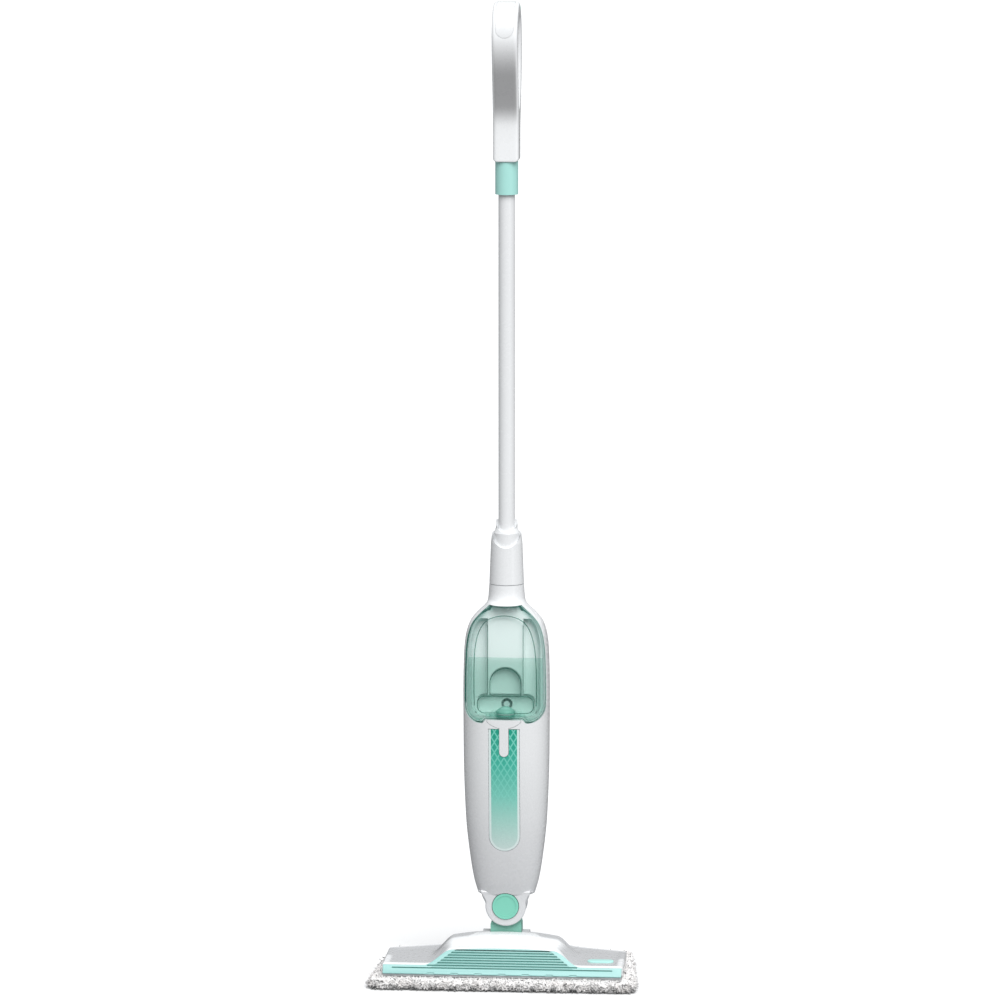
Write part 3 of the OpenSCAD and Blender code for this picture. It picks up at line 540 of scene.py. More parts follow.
# height, half width, depth to the front, depth to the back, power of the outline
SECTIONS = [(108, 35.5, 21, 21, 2.6), (122, 39.5, 25, 22, 2.6), (145, 43.6, 29.5, 25, 2.6),
            (206, 50, 37.5, 33, 2.6), (282, 52.4, 43.5, 40, 2.6), (358, 52.8, 46, 42, 2.6),
            (405, 51.8, 45.4, 41.2, 2.6), (425, 50, 44.4, 40, 2.55), (443, 44.8, 42.4, 36.5, 2.5),
            (455, 35.8, 39.4, 30.5, 2.4), (463, 27.5, 36, 25.5, 2.3), (467, 24.2, 33, 23.8, 2.2),
            (471, 22.8, 24.5, 22.8, 2), (480, 21.8, 21.8, 21.8, 2), (491, 21.1, 21.1, 21.1, 2)]
HALF_W, FRONT, BACK, POWER = (Profile([s[0] for s in SECTIONS], [s[k] for s in SECTIONS]) for k in (1, 2, 3, 4))
WALL = 2.6
FOOT_Z, FOOT_R = 104.5, 3.5
NECK_Z = 491.0
ROLL_Z = 91.4
PART_Y = -20.2
TANK_Z = 324.4
NOTCH_Z = TANK_Z + 5
TANK_TOP = 466.6
SHELL_TOP = NECK_Z - 0.8
LEVEL_STEP, BODY_SIDES, HALF_SIDES, SEAM_GAP = 1.6, 144, 96, 0.2


def foot_inset(z):
    """How far the round edge at the body's foot draws the skin in."""
    d = FOOT_Z + FOOT_R - z
    return FOOT_R - math.sqrt(max(0.0, FOOT_R ** 2 - d * d)) if d > 0 else 0.0


def body_point(z, t, off):
    """Point on the body's surface at height z and angle t (radians), inset by off."""
    o = off + foot_inset(z)
    a, f, b, p = HALF_W(z) - o, FRONT(z) - o, BACK(z) - o, POWER(z)
    c, s = math.cos(t), math.sin(t)
    return (a * spow(c, 2 / p), (f if s < 0 else b) * spow(s, 2 / p), z)


def half_width(z, y):
    """Half the body's width at height z and depth y."""
    f, p = FRONT(z), POWER(z)
    return 0.0 if f <= -y else HALF_W(z) * (1 - (-y / f) ** p) ** (1 / p)


def body_levels(z0, z1):
    n = max(2, int((z1 - z0) / LEVEL_STEP))
    return [lerp(z0, z1, k / n) for k in range(n + 1)]


def body_solid(name, off, z0, z1):
    """Closed solid of the whole body section."""
    n = BODY_SIDES
    rings = []
    for z in body_levels(z0, z1):
        rings.append([body_point(z, 2 * math.pi * k / n, off) for k in range(n)])
    return rings_obj(name, rings)


def half_rings(levels, off, sign, seam, n):
    """Rings of one half's skin, each running from one side of the seam to the other."""
    rings = []
    for z in levels:
        ring = []
        for k in range(n + 1):
            t = sign * math.pi * (1 - math.cos(math.pi * k / n)) / 2
            x, y, _ = body_point(z, t, off)
            ring.append((x, y + sign * seam, z))
        rings.append(ring)
    return rings


def half_shell(name, front):
    """One moulded half: outer and inner skins with a flat rim on the seam."""
    n = HALF_SIDES
    sign = -1 if front else 1
    outer = half_rings(body_levels(FOOT_Z, SHELL_TOP), 0, sign, SEAM_GAP, n)
    inner = half_rings(body_levels(FOOT_Z + WALL + FOOT_R, SHELL_TOP), WALL, sign, SEAM_GAP, n)
    verts = [p for r in outer for p in r] + [p for r in inner for p in r]
    w = n + 1
    base = len(outer) * w
    faces = []
    for j in range(len(outer) - 1):
        for i in range(n):
            a = j * w + i
            faces.append((a, a + 1, a + 1 + w, a + w))
    for j in range(len(inner) - 1):
        for i in range(n):
            a = base + j * w + i
            faces.append((a, a + w, a + 1 + w, a + 1))
    top_o, top_i = (len(outer) - 1) * w, base + (len(inner) - 1) * w
    for i in range(n):
        faces.append((top_o + i, top_o + i + 1, top_i + i + 1, top_i + i))
    # seam rim: left strip, right strip and the floor between them, in the seam plane
    left_o, right_o = [j * w for j in range(len(outer))], [j * w + n for j in range(len(outer))]
    left_i, right_i = [base + j * w for j in range(len(inner))], [base + j * w + n for j in range(len(inner))]
    faces.append(tuple(left_o + left_i[::-1] + right_i + right_o[::-1]))
    faces.append(tuple(range(0, n + 1)))
    faces.append(tuple(base + i for i in range(n, -1, -1)))
    return clean(mesh_obj(name, verts, faces))


def tank_outline(grow=0.0):
    """Outline of the tank seen from the front, with its notch for the button."""
    r, side_z, step = 20, 350, 4.0
    corner = [(29.8 + (r + grow) * math.cos(math.radians(t)), TANK_Z + r - (r + grow) * math.sin(math.radians(t)))
              for t in range(90, -1, -9)]
    zs = [side_z + step * k for k in range(int((TANK_TOP - side_z) / step) + 1)] + [TANK_TOP]
    sides = [(half_width(z, PART_Y) + grow, z) for z in zs]
    right = [(22.5 - grow / 2, NOTCH_Z - grow), (27 - grow / 2, TANK_Z - grow)] + corner + sides
    right.append((sides[-1][0] + grow, TANK_TOP + grow))
    return right + [(-x, z) for x, z in reversed(right)]


PANEL_R, PANEL_Z, PANEL_TOP = 18.6, 163.5, 317


def panel_outline(grow=0.0):
    r = PANEL_R + grow
    pts = circle_pts(0, PANEL_Z + PANEL_R, r, 40, 180, 360)
    return pts + [(r, PANEL_TOP + grow), (-r, PANEL_TOP + grow)]


STEM_R, STEM_Z = 5.6, 283.0
BUTTON_TOP = NOTCH_Z - 0.9


def button_outline(grow=0.0):
    """The thumb pad over its long stem."""
    g = grow
    cz, r = BUTTON_TOP + 20, 30.4 + g
    half = 20.6 + g
    pts = [(half, BUTTON_TOP + g)]
    zc = cz - math.sqrt(r * r - half * half) if half < r else BUTTON_TOP
    pts.append((half, max(zc, cz - r)))
    x = half
    while x > STEM_R + g + 0.8:
        x -= 1.0
        pts.append((x, cz - math.sqrt(r * r - x * x)))
    x = STEM_R + g
    pts.append((x, cz - math.sqrt(r * r - x * x)))
    pts += [(x * math.cos(math.radians(a)), STEM_Z + STEM_R + x * math.sin(math.radians(a)))
            for a in range(0, -91, -10)]
    return pts + [(-px, pz) for px, pz in reversed(pts[:-1])]


def tongue_outline(r, top):
    """Round end of the body with curved sides up to the shoulder."""
    right = [(r * math.cos(math.radians(a)), ROLL_Z + r * math.sin(math.radians(a))) for a in range(-90, 11, 5)]
    x0, z0 = right[-1]
    for k in range(1, 9):
        u = k / 8
        right.append((lerp(x0, r + 8.5, 0.5 * u + 0.5 * u * u), lerp(z0, top, u)))
    return right + [(-x, z) for x, z in reversed(right[1:])]


def make_shell(front):
    name = "front_body" if front else "rear_body"
    shell = half_shell(name, front)
    sign = -1 if front else 1
    cheek = plate("cheek", [resample(tongue_outline(25, 110.5), 1.5)], -19, 19, 2.2, "Y", 5)
    side = prism("side", [(-80, 0), (80, 0), (80, 300), (-80, 300)], *sorted((sign * 15.5, sign * 60)))
    boolean(cheek, side, "INTERSECT")
    boolean(shell, cheek, "UNION")
    slot_box = prism("slot", [(-30.2, 60), (30.2, 60), (30.2, 112), (-30.2, 112)], -15.5, 15.5)
    boolean(shell, slot_box)
    hole = lathe("hole", [(16.8, -60), (16.8, 60)], (0, 0, ROLL_Z), "Y")
    boolean(shell, hole)
    return shell


front_body = make_shell(True)
boolean(front_body, prism("cut", tank_outline(0.5), -60, PART_Y + 0.4))
boolean(front_body, prism("cut", button_outline(0.5), -60, -30))
groove = prism("groove", resample(panel_outline(0.7), 3.0), -60, -10)
boolean(groove, body_solid("core", 1.7, 120, 340))
boolean(front_body, groove)
shell_white = body_white()
piece(front_body, "mop_body", shell_white, "white_gloss", "front_shell")

rear_body = make_shell(False)
for sx, sz in ((34, 140), (-34, 140), (42, 300), (-42, 300)):
    boolean(rear_body, lathe("cut", [(3.4, 9), (3.4, 60)], (sx, 0, sz), "Y", 24))
GLAND_Z = 262.0
tilt = math.atan((BACK(GLAND_Z + 5) - BACK(GLAND_Z - 5)) / 10)
gland_cut = lathe("cut", [(6.7, -12), (6.7, 12)], (0, 0, 0), "Z", 40)
gland_cut.rotation_euler = (-math.pi / 2 - tilt, 0, 0)
gland_cut.location = (0, BACK(GLAND_Z) * MM, GLAND_Z * MM)
bpy.context.view_layer.update()
boolean(rear_body, gland_cut)
piece(rear_body, "mop_body", shell_white, "white_gloss", "rear_shell")

# white wall behind the top of the tank
bay_top = prism("bay_top_wall", [(-21, 456), (21, 456), (14.5, 467), (-14.5, 467)], -17.2, -15.6)
piece(bay_top, "mop_body", bay_plastic, "white_gloss")

# ---- printed panel


def panel_material():
    m = Mat("panel_print", (0.3, 0.6, 0.5), 0.28, Coat_Weight=0.4, Coat_Roughness=0.08)
    x, _, z = m.xyz()
    base = m.ramp(m.span(z, 0.165, 0.318), [(0.0, (0.60, 0.74, 0.71)), (0.22, (0.40, 0.68, 0.61)),
                                           (0.45, (0.20, 0.60, 0.50)), (0.7, (0.06, 0.46, 0.35)),
                                           (1.0, (0.008, 0.33, 0.22))])
    u = m.math("DIVIDE", x, 0.0078)
    v = m.math("DIVIDE", z, 0.0128)
    lines = []
    for op in ("ADD", "SUBTRACT"):
        w = m.math("FRACT", m.math("ADD", m.math(op, u, v), 64.5))
        d = m.math("ABSOLUTE", m.math("SUBTRACT", w, 0.5))
        lines.append(m.span(d, 0.06, 0.16, 1.0, 0.0))
    net = m.math("MAXIMUM", lines[0], lines[1])
    fade = m.span(z, 0.205, 0.3, 0.0, 0.62)
    printed = m.mix(m.math("MULTIPLY", net, fade), base, (0.30, 0.82, 0.70))
    # pale border that follows the panel's edge
    side = m.math("ABSOLUTE", x)
    under = m.math("MINIMUM", m.math("SUBTRACT", z, 0.1821), 0.0)
    low = m.math("SQRT", m.math("ADD", m.math("MULTIPLY", x, x), m.math("POWER", under, 2.0)))
    rim = m.span(m.math("MAXIMUM", side, low), 0.0158, 0.0163)
    m.color(m.mix(rim, printed, (0.74, 0.86, 0.84)))
    m.rough(m.span(m.noise(200.0), 0.3, 0.7, 0.22, 0.32))
    return m.m


panel = body_solid("decor", 0.35, 120, 340)
boolean(panel, body_solid("core", 1.5, 118, 342))
boolean(panel, prism("cut", resample(panel_outline(), 3.0), -60, -10), "INTERSECT")
boolean(panel, prism("cut", button_outline(0.5), -60, -10))
piece(panel, "mop_body", panel_material(), "panel_print", "decor_panel")

# ---- release button
button = body_solid("release", -0.5, 270, 345)
boolean(button, body_solid("core", 3.0, 268, 347))
boolean(button, prism("cut", button_outline(), -60, -10), "INTERSECT")
piece(button, "button", white_plastic, "white_gloss", "release_button")

# ---- tank

tank = body_solid("tank_front", 0, TANK_Z - 12, 476)
boolean(tank, prism("cut", tank_outline(), -60, PART_Y), "INTERSECT")
hollow = body_solid("hollow", 2.2, TANK_Z - 12, 476)
boolean(hollow, prism("cut", tank_outline(-2.2), -61, PART_Y + 1), "INTERSECT")
boolean(tank, hollow)
piece(tank, "tank", clear_green, "clear_green", "tank_shell", angle=25)

water = body_solid("water", 2.5, TANK_Z - 12, 402)
boolean(water, prism("cut", tank_outline(-2.5), -61, PART_Y - 2.3), "INTERSECT")
boolean(water, prism("cut", [(-22.8, 320), (22.8, 320), (22.8, NOTCH_Z + 2.5), (-22.8, NOTCH_Z + 2.5)], -61, 10))
boolean(water, lathe("cut", [(16.1, 320), (16.1, NOTCH_Z + 8.8)], (0, -18, 0), "Z"))
piece(water, "tank", water_mat, "clear_green", angle=25)


def bead(name, path, r, closed=False):
    """Round rib along a path of points in millimetres."""
    sides = 6
    pts = [Vector(p) for p in path]
    n = len(pts)
    rings = []
    for i, p in enumerate(pts):
        a = pts[(i - 1) % n] if closed or i else pts[0]
        b = pts[(i + 1) % n] if closed or i < n - 1 else pts[-1]
        t = (b - a).normalized()
        u = t.cross(Vector((0, 1, 0))).normalized()
        w = t.cross(u)
        rings.append([tuple(p + (u * math.cos(2 * math.pi * k / sides) + w * math.sin(2 * math.pi * k / sides)) * r)
                      for k in range(sides)])
    verts = [v for ring in rings for v in ring]
    faces = []
    for i in range(n if closed else n - 1):
        a, b = i * sides, (i + 1) % n * sides
        faces += [(a + k, a + (k + 1) % sides, b + (k + 1) % sides, b + k) for k in range(sides)]
    if not closed:
        faces += [tuple(range(sides))[::-1], tuple((n - 1) * sides + k for k in range(sides))]
    return clean(mesh_obj(name, verts, faces))


def skin_y(x, z, off):
    """Depth of the tank's front at a point, off inside its skin."""
    a, f, p = HALF_W(z) - off, FRONT(z) - off, POWER(z)
    return -f * max(0.0, 1 - (min(abs(x), a) / a) ** p) ** (1 / p)


# dark beads that draw the tank's rim and inner edges as dark green lines: painted refraction at the edges of the
# clear plastic
LINE_Y = PART_Y - 0.7
inner_line = [(-37.5, 336), (-38.4, 352), (-38.4, 392), (-37.4, 412), (-34.5, 428), (-29.5, 440),
              (-22, 448.5), (-11, 452.5), (0, 453.6), (11, 452), (21, 447.5), (28.5, 439), (33.5, 426),
              (36.5, 410), (37.8, 390), (38.2, 352), (37.5, 336)]
painted_edge_lines = [bead("tank_line_rim", [(x, LINE_Y - 1, z) for x, z in chaikin(inner_line, 2, False)], 0.5)]
box_line = round_rect(-34.4, NOTCH_Z + 3.4, 34.4, 353.4, 8.4, 6)
painted_edge_lines.append(bead("tank_line_box", [(x, LINE_Y, z) for x, z in box_line], 0.4, True))
arch_line = circle_pts(0, 369.5, 18.9, 20, 0, 180)
arch_path = [(18.9, LINE_Y, 355)] + [(x, LINE_Y, z) for x, z in arch_line] + [(-18.9, LINE_Y, 355)]
painted_edge_lines.append(bead("tank_line_arch", arch_path, 0.35))
for x in (-21.6, 21.6):
    name = "tank_line_left" if x < 0 else "tank_line_right"
    painted_edge_lines.append(bead(name, [(x, LINE_Y, 356), (x, LINE_Y, 442)], 0.32))
outline = [(x, min(skin_y(x, z, 1.3), PART_Y - 1.2), z) for x, z in resample(tank_outline(-1.0), 2.5)]
painted_edge_lines.append(bead("tank_line_edge", outline, 0.34, True))
# a thicker dark bead down the left side only: a painted dark reflection of the surroundings
left_edge = [(1.6 - half_width(z, PART_Y), PART_Y - 1.4, z) for z in range(346, 463, 4)]
painted_edge_lines.append(bead("tank_line_side", left_edge, 0.85))
for edge_line in painted_edge_lines:
    piece(edge_line, "tank", clear_edge, "clear_green", angle=60)

# ------------------------------------------------------------------ head

PITCH_Z = 46.0
HEAD_X = 147.0
COVER_Z = 19.0
SLOPE = 0.58
GRILLE_Y = -80.0
WING_Z, GRILLE_MID = 29.6, 49.0
HUMP_Z = 58.5


def wing_share(x):
    return smooth((abs(x) - 63) / 34)


def grille_top(x):
    return lerp(GRILLE_MID - 2 * (x / 63) ** 2, WING_Z, wing_share(x))


def grille_y(z):
    return GRILLE_Y + (z - COVER_Z) * SLOPE


def head_back_y(x):
    return 62 if abs(x) < 60 else lerp(62, 18, ((abs(x) - 60) / (HEAD_X - 60)) ** 1.15)


def cover_front_y(x):
    return grille_y(grille_top(x)) + 4


def hump_top(x, y):
    crest = HUMP_Z - 5.5 * (x / 63) ** 2
    rise = smooth((y - cover_front_y(x)) / (-24 - cover_front_y(x)))
    fall = smooth((y + 8) / 28)
    return lerp(lerp(grille_top(x), crest, rise), 27.5, fall)


def wing_top(x, y):
    scoop = smooth((y + 66) / 8) * smooth((head_back_y(x) - 4 - y) / 14) * smooth((HEAD_X - 4 - abs(x)) / 8)
    return WING_Z - 2.1 * scoop - 3 * smooth((y - 4) / 50)


def head_top(x, y):
    return lerp(hump_top(x, y), wing_top(x, y), wing_share(x))


def head_solid(name, inset, drop, floor):
    """The head's cover as a solid: its top face on a grid, round at the edges, over a flat underside."""
    nx, ny, edge_r = 210, 70, 1.6
    top = []
    for i in range(nx + 1):
        x = (-1 + 2 * i / nx) * (HEAD_X - inset)
        y0, y1 = cover_front_y(x) + inset, head_back_y(x) - inset
        for j in range(ny + 1):
            y = lerp(y0, y1, j / ny)
            edge = min(j, ny - j) / ny * (y1 - y0)
            edge = min(edge, (HEAD_X - inset) - abs(x))
            short = max(0.0, edge_r - edge)
            round_off = edge_r - math.sqrt(max(0.0, edge_r ** 2 - short ** 2)) if edge < edge_r else 0.0
            top.append((x, y, head_top(x, y) - drop - (round_off if drop == 0 else 0)))
    n = len(top)
    rows = ny + 1
    verts = top + [(x, y, floor) for x, y, _ in top]
    faces = []
    for i in range(nx):
        for j in range(ny):
            a = i * rows + j
            faces.append((a, a + rows, a + rows + 1, a + 1))
            faces.append((a + n, a + n + 1, a + n + rows + 1, a + n + rows))
    rim = [i * rows for i in range(nx + 1)] + [nx * rows + j for j in range(1, rows)]
    rim += [i * rows + ny for i in range(nx - 1, -1, -1)] + [j for j in range(ny - 1, 0, -1)]
    for k in range(len(rim)):
        a, b = rim[k], rim[(k + 1) % len(rim)]
        faces.append((a, b, b + n, a + n))
    return clean(mesh_obj(name, verts, faces))


cover = head_solid("head_top", 0, 0, COVER_Z)
for s in (-1, 1):
    boolean(cover, lathe("knuckle", [(12.4, s * 19.5), (12.4, s * 28.6)], (0, 0, PITCH_Z), "X"), "UNION")
boolean(cover, head_solid("under", 2.6, 2.6, COVER_Z - 1))
boolean(cover, prism("slot", [(-19.5, 10), (19.5, 10), (19.5, 80), (-19.5, 80)], -14, 24))
for s in (-1, 1):
    boolean(cover, lathe("eye", [(9.8, s * 19), (9.8, s * 26.6)], (0, 0, PITCH_Z), "X"))
    boolean(cover, prism("leg", [(s * 19, 10), (s * 26.6, 10), (s * 26.6, PITCH_Z), (s * 19, PITCH_Z)], -9, 9))


def recess_shade(x, y, z):
    """How far a point of the cover lies in the scooped wings or behind the hump: the mask of its painted shade."""
    front = smooth((y - cover_front_y(x) - 7.5) / 2.5)
    back = smooth((head_back_y(x) - 5 - y) / 3)
    wing = smooth((abs(x) - 60 - 0.25 * (y + 60)) / 10) * smooth((HEAD_X - 6 - abs(x)) / 3) * back
    behind = smooth((y + 17 + 14 * smooth((abs(x) - 34) / 12)) / 8) * smooth((head_back_y(x) - 5 - y) / 3)
    return front * max(wing, behind)


mark(cover, "recess_shade", recess_shade)
# painted shade: the scooped wings and the hollow behind the hump are painted grey
piece(cover, "head", white_with_painted_shade("head_white", "recess_shade", (0.47, 0.475, 0.485)), "white_gloss", "head_cover")

# ---- grille: a sloping mint face with slots
SLOPE_LEN = math.sqrt(1 + SLOPE ** 2)
SLITS, SLIT_STEP = 8, 3.35


def grille_loop():
    """Outline of the grille in its own plane."""
    step, gap, half = 1.5, 0.9, HEAD_X - 1
    xs = [-half + k * step for k in range(int(2 * half / step) + 1)] + [half]
    heights = [grille_top(x) for x in xs[:-1]] + [WING_Z]
    return [(-half, 0)] + [(x, (z - COVER_Z) * SLOPE_LEN - gap) for x, z in zip(xs, heights)] + [(half, 0)]


def to_grille(obj):
    """From the face's own plane (x, height along the slope, out of the face) to the head."""
    lean = math.atan(SLOPE)
    for v in obj.data.vertices:
        x, s, w = v.co.x, v.co.y, v.co.z
        v.co = (x, GRILLE_Y * MM + s * math.sin(lean) - w * math.cos(lean),
                COVER_Z * MM + s * math.cos(lean) + w * math.sin(lean))
    return clean(obj)


grille = plate("grille", [grille_loop()], -3, 0, 0.6, "Z", 3)
# slot walls and floors in a darker mint: painted shade inside the slots
slot_painted_shade = moulded("slot_mint", (0.16, 0.42, 0.38), 0.5, 0.05, 0.0, 0.05)


def grille_material():
    """Pale mint, a little deeper between the slots than round them."""
    m = Mat("grille_mint", (0.3, 0.6, 0.56), 0.36, Coat_Weight=0.15, Coat_Roughness=0.2)
    x, _, z = m.xyz()
    reach = m.math("SUBTRACT", 0.125, m.math("MULTIPLY", z, 1.42))
    inside = m.math("MULTIPLY", m.span(m.math("SUBTRACT", reach, m.math("ABSOLUTE", x)), 0.0, 0.001),
                    m.math("MULTIPLY", m.span(z, 0.0245, 0.0252), m.span(z, 0.0462, 0.0455)))
    face = m.ramp(m.noise(14.0), [(0.3, (0.28, 0.545, 0.52)), (0.7, (0.295, 0.57, 0.545))])
    m.color(m.mix(inside, face, (0.18, 0.41, 0.38)))
    m.grain(0.04)
    return m.m


grille.data.materials.append(grille_material())
for i in range(SLITS):
    s = 7.6 + i * SLIT_STEP
    reach = HEAD_X - 12 if i == 0 else 92 if i == 1 else 88 - 4.2 * i
    slit = prism("slit", round_rect(-reach, s - 0.85, reach, s + 0.85, 0.8, 3), -1.7, 2, "Z")
    slit.data.materials.append(slot_painted_shade)
    boolean(grille, slit, materials="TRANSFER")
for i in range(-3, 4):
    middle = i * 29
    notch = [(middle - 6, -1), (middle + 6, -1), (middle + 4, 1.7), (middle - 4, 1.7)]
    boolean(grille, prism("notch", notch, -1.2, 2, "Z"))
to_grille(grille)
piece(grille, "head", None, "pale_mint", "front_grille", angle=30)

# ---- plain badge on the right wing
badge = plate("badge", [round_rect(102, -41, 134, -27, 6.9, 10)], 27.0, 28.9, 0.6, "Z", 3)
piece(badge, "head", pale_mint, "pale_mint", "head_badge")

# ------------------------------------------------------------------ pad

PAD_F, PAD_B, PAD_D, PAD_T = 330.0, 304.0, 184.0, 14.0


def pad_material():
    m = Mat("microfibre", (0.78, 0.77, 0.74), 0.95, Sheen_Weight=0.5, Sheen_Roughness=0.6)
    x, y, z = m.xyz()
    speck = m.noise(330.0, 3.0, 0.7)
    cream = m.ramp(m.noise(60.0, 3.0, 0.6), [(0.3, (0.80, 0.77, 0.755)), (0.5, (0.90, 0.88, 0.87)),
                                             (0.7, (0.96, 0.945, 0.94))])
    fleck = m.math("GREATER_THAN", speck, 0.6)
    base = m.mix(m.math("MULTIPLY", fleck, 0.6), cream, (0.30, 0.30, 0.31))
    # grey scrubbing stripes that show along the lower edge
    along = m.math("ADD", x, m.math("MULTIPLY", y, 0.35))
    turn = m.math("FRACT", m.math("ADD", m.math("DIVIDE", along, 0.0245), 40.2))
    wave = m.math("ABSOLUTE", m.math("SUBTRACT", turn, 0.5))
    spot = m.math("MULTIPLY", m.span(wave, 0.16, 0.27, 1.0, 0.0), m.span(z, 0.0045, 0.0085, 1.0, 0.0))
    rag = m.span(m.noise(210.0, 2.0), 0.36, 0.56)
    stripe = m.math("MULTIPLY", spot, m.math("MULTIPLY", rag, 0.93))
    # the lowest few millimetres of the pad turn nearly black: a painted contact shadow along the floor
    dark = m.math("MAXIMUM", stripe, m.span(z, 0.0012, 0.0036, 0.9, 0.0))
    # single strands dyed grey
    dark = m.math("MAXIMUM", dark, m.node("ShaderNodeAttribute", attribute_name="dye").outputs["Fac"])
    m.color(m.mix(dark, base, (0.035, 0.037, 0.04)))
    m.bump(m.noise(900.0, 4.0, 0.7), 0.6, 0.0015)
    return m.m


CORNER, CORNER_R = 15, 12
front_x, back_x, side_y = PAD_F / 2 - CORNER, PAD_B / 2 - CORNER, PAD_D / 2 - CORNER
pad_loop = []
for x, y, a in ((front_x, -side_y, -90), (back_x, side_y, 0), (-back_x, side_y, 90), (-front_x, -side_y, 180)):
    for k in range(7):
        turn = math.radians(a + k * 15)
        pad_loop.append((x + CORNER_R * math.cos(turn), y + CORNER_R * math.sin(turn)))
pad_base = plate("pad_cloth", [resample(pad_loop, 4.0)], 0.2, PAD_T - 0.4, 5.5, "Z", 6)
for v in pad_base.data.vertices:
    x, y, z = v.co / MM
    wave = 0.7 * math.sin(x * 0.31 + 1.3 * math.sin(y * 0.11)) + 0.6 * math.sin(y * 0.37 + x * 0.05)
    edge = smooth((z - 1) / 4)
    out = Vector((x / (PAD_F / 2), y / (PAD_D / 2), 0))
    if max(abs(x) / (PAD_B / 2), abs(y) / (PAD_D / 2)) > 0.93:
        v.co += out.normalized() * wave * edge * MM
pad_look = pad_material()
piece(pad_base, "head", pad_look, "microfibre", "pad", angle=80)


def under_head(x, y):
    return abs(x) < HEAD_X - 6 and GRILLE_Y + 6 < y < head_back_y(x) - 6


def pile(source, count, seed):
    """Short bent strands of pile standing on the cloth wherever it can be seen."""
    rng = np.random.default_rng(seed)
    mesh = source.data
    mesh.calc_loop_triangles()
    tris = np.array([t.vertices for t in mesh.loop_triangles])
    co = np.array([v.co for v in mesh.vertices]) / MM
    p0, p1, p2 = co[tris[:, 0]], co[tris[:, 1]], co[tris[:, 2]]
    cr = np.cross(p1 - p0, p2 - p0)
    area = np.linalg.norm(cr, axis=1) / 2
    nrm = cr / np.maximum(2 * area[:, None], 1e-9)
    mid = (p0 + p1 + p2) / 3
    side = np.abs(nrm[:, 2]) < 0.8
    keep = (nrm[:, 2] > -0.75) & (mid[:, 2] > 0.5)
    weight = area * keep * np.where(side, 3.2, 1.0)
    pick = rng.choice(len(tris), size=count * 2, p=weight / weight.sum())
    u, v = rng.random((2, len(pick)))
    flip = u + v > 1
    u[flip], v[flip] = 1 - u[flip], 1 - v[flip]
    pos = p0[pick] + u[:, None] * (p1 - p0)[pick] + v[:, None] * (p2 - p0)[pick]
    n = nrm[pick]
    free = np.array([not (q[2] > 0.8 and under_head(p[0], p[1])) for p, q in zip(pos, n)])
    pos, n = pos[free][:count], n[free][:count]
    m = len(pos)
    lean = rng.normal(0, 0.75, (m, 3))
    d = n + lean
    d /= np.linalg.norm(d, axis=1)[:, None]
    d[:, 2] = np.where(pos[:, 2] < 4, np.abs(d[:, 2]) * 0.4, d[:, 2])
    curl = rng.normal(0, 0.6, (m, 3)) - np.array([0, 0, 0.35])
    length = rng.uniform(2.6, 5.2, m) * np.where(pos[:, 2] > 11, 0.75, 1.0)
    rad = rng.uniform(0.55, 0.95, m)
    sides, segs = 5, 4
    a = np.cross(d, [0.31, 0.2, 0.93])
    a /= np.linalg.norm(a, axis=1)[:, None]
    b = np.cross(d, a)
    verts = np.zeros((m, segs * sides, 3))
    for k in range(segs):
        t = k / (segs - 1)
        c = pos - d * 0.5 + (d + curl * t * 0.5) * (length * t)[:, None]
        r = rad * (1.0, 1.05, 0.9, 0.35)[k]
        for i in range(sides):
            w = 2 * math.pi * i / sides
            verts[:, k * sides + i] = c + (a * math.cos(w) + b * math.sin(w)) * r[:, None]
    verts[:, :, 2] = np.clip(verts[:, :, 2], 0.15, PAD_T + 2.2)
    faces = []
    per = segs * sides
    for k in range(segs - 1):
        for i in range(sides):
            a0, a1 = k * sides + i, k * sides + (i + 1) % sides
            faces.append([a0, a1, a1 + sides, a0 + sides])
    base = np.arange(m)[:, None, None] * per
    quads = (np.array(faces)[None] + base).reshape(-1, 4)
    cap = (np.array([[(segs - 1) * sides + i for i in range(sides)]])[None] + base).reshape(-1, sides)
    out = bpy.data.meshes.new("pad_pile")
    points = [tuple(p) for p in verts.reshape(-1, 3) * MM]
    out.from_pydata(points, [], [tuple(q) for q in quads] + [tuple(q) for q in cap])
    out.update()
    dye = np.where(rng.random(m) < 0.16, rng.uniform(0.35, 0.85, m), 0.0)
    out.attributes.new("dye", "FLOAT", "POINT").data.foreach_set("value", np.repeat(dye, per).astype(np.float32))
    return link("pad_pile", out)


STRANDS, PILE_SEED = 9000, 11
tufts = pile(pad_base, STRANDS, PILE_SEED)
for poly in tufts.data.polygons:
    poly.use_smooth = True
tufts.data.materials.append(pad_look)
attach(tufts, "head")

# ------------------------------------------------------------------ handle

HANDLE_Z = 1007.0
LOOP_HALF, LOOP_EDGE = 15.7, 4.5
GRIP_Y, GRIP_Z = 8, 76
front_edge = [(-15.7, 0), (-15.7, 36), (-17, 52), (-21, 72), (-27, 94), (-33, 116), (-37, 138), (-37.6, 154),
              (-34.5, 168), (-28, 179), (-18, 187.5), (-6, 192.2)]
back_edge = [(6, 193), (18, 190.5), (28, 184), (36, 174), (41, 160), (43.4, 142), (42.6, 122), (38.6, 100),
             (32, 80), (25, 64), (19, 50), (15.7, 36), (15.7, 0)]
finger_hole = [(-8, 70), (-14, 94), (-19, 118), (-20.5, 138), (-19.5, 154), (-14.5, 165), (-5, 172.5), (6, 174.5),
               (16, 170), (22, 160), (24.6, 144), (24.4, 124), (21, 104), (14.5, 84), (8, 70), (0, 64.5)]
outer_loop = [(-15.7, 0)] + [p for p in chaikin(front_edge + back_edge, 3, False) if p[1] > 1] + [(15.7, 0)]
hole_loop = chaikin(finger_hole, 3)


def raised(loop):
    return [(y, z + HANDLE_Z) for y, z in loop]


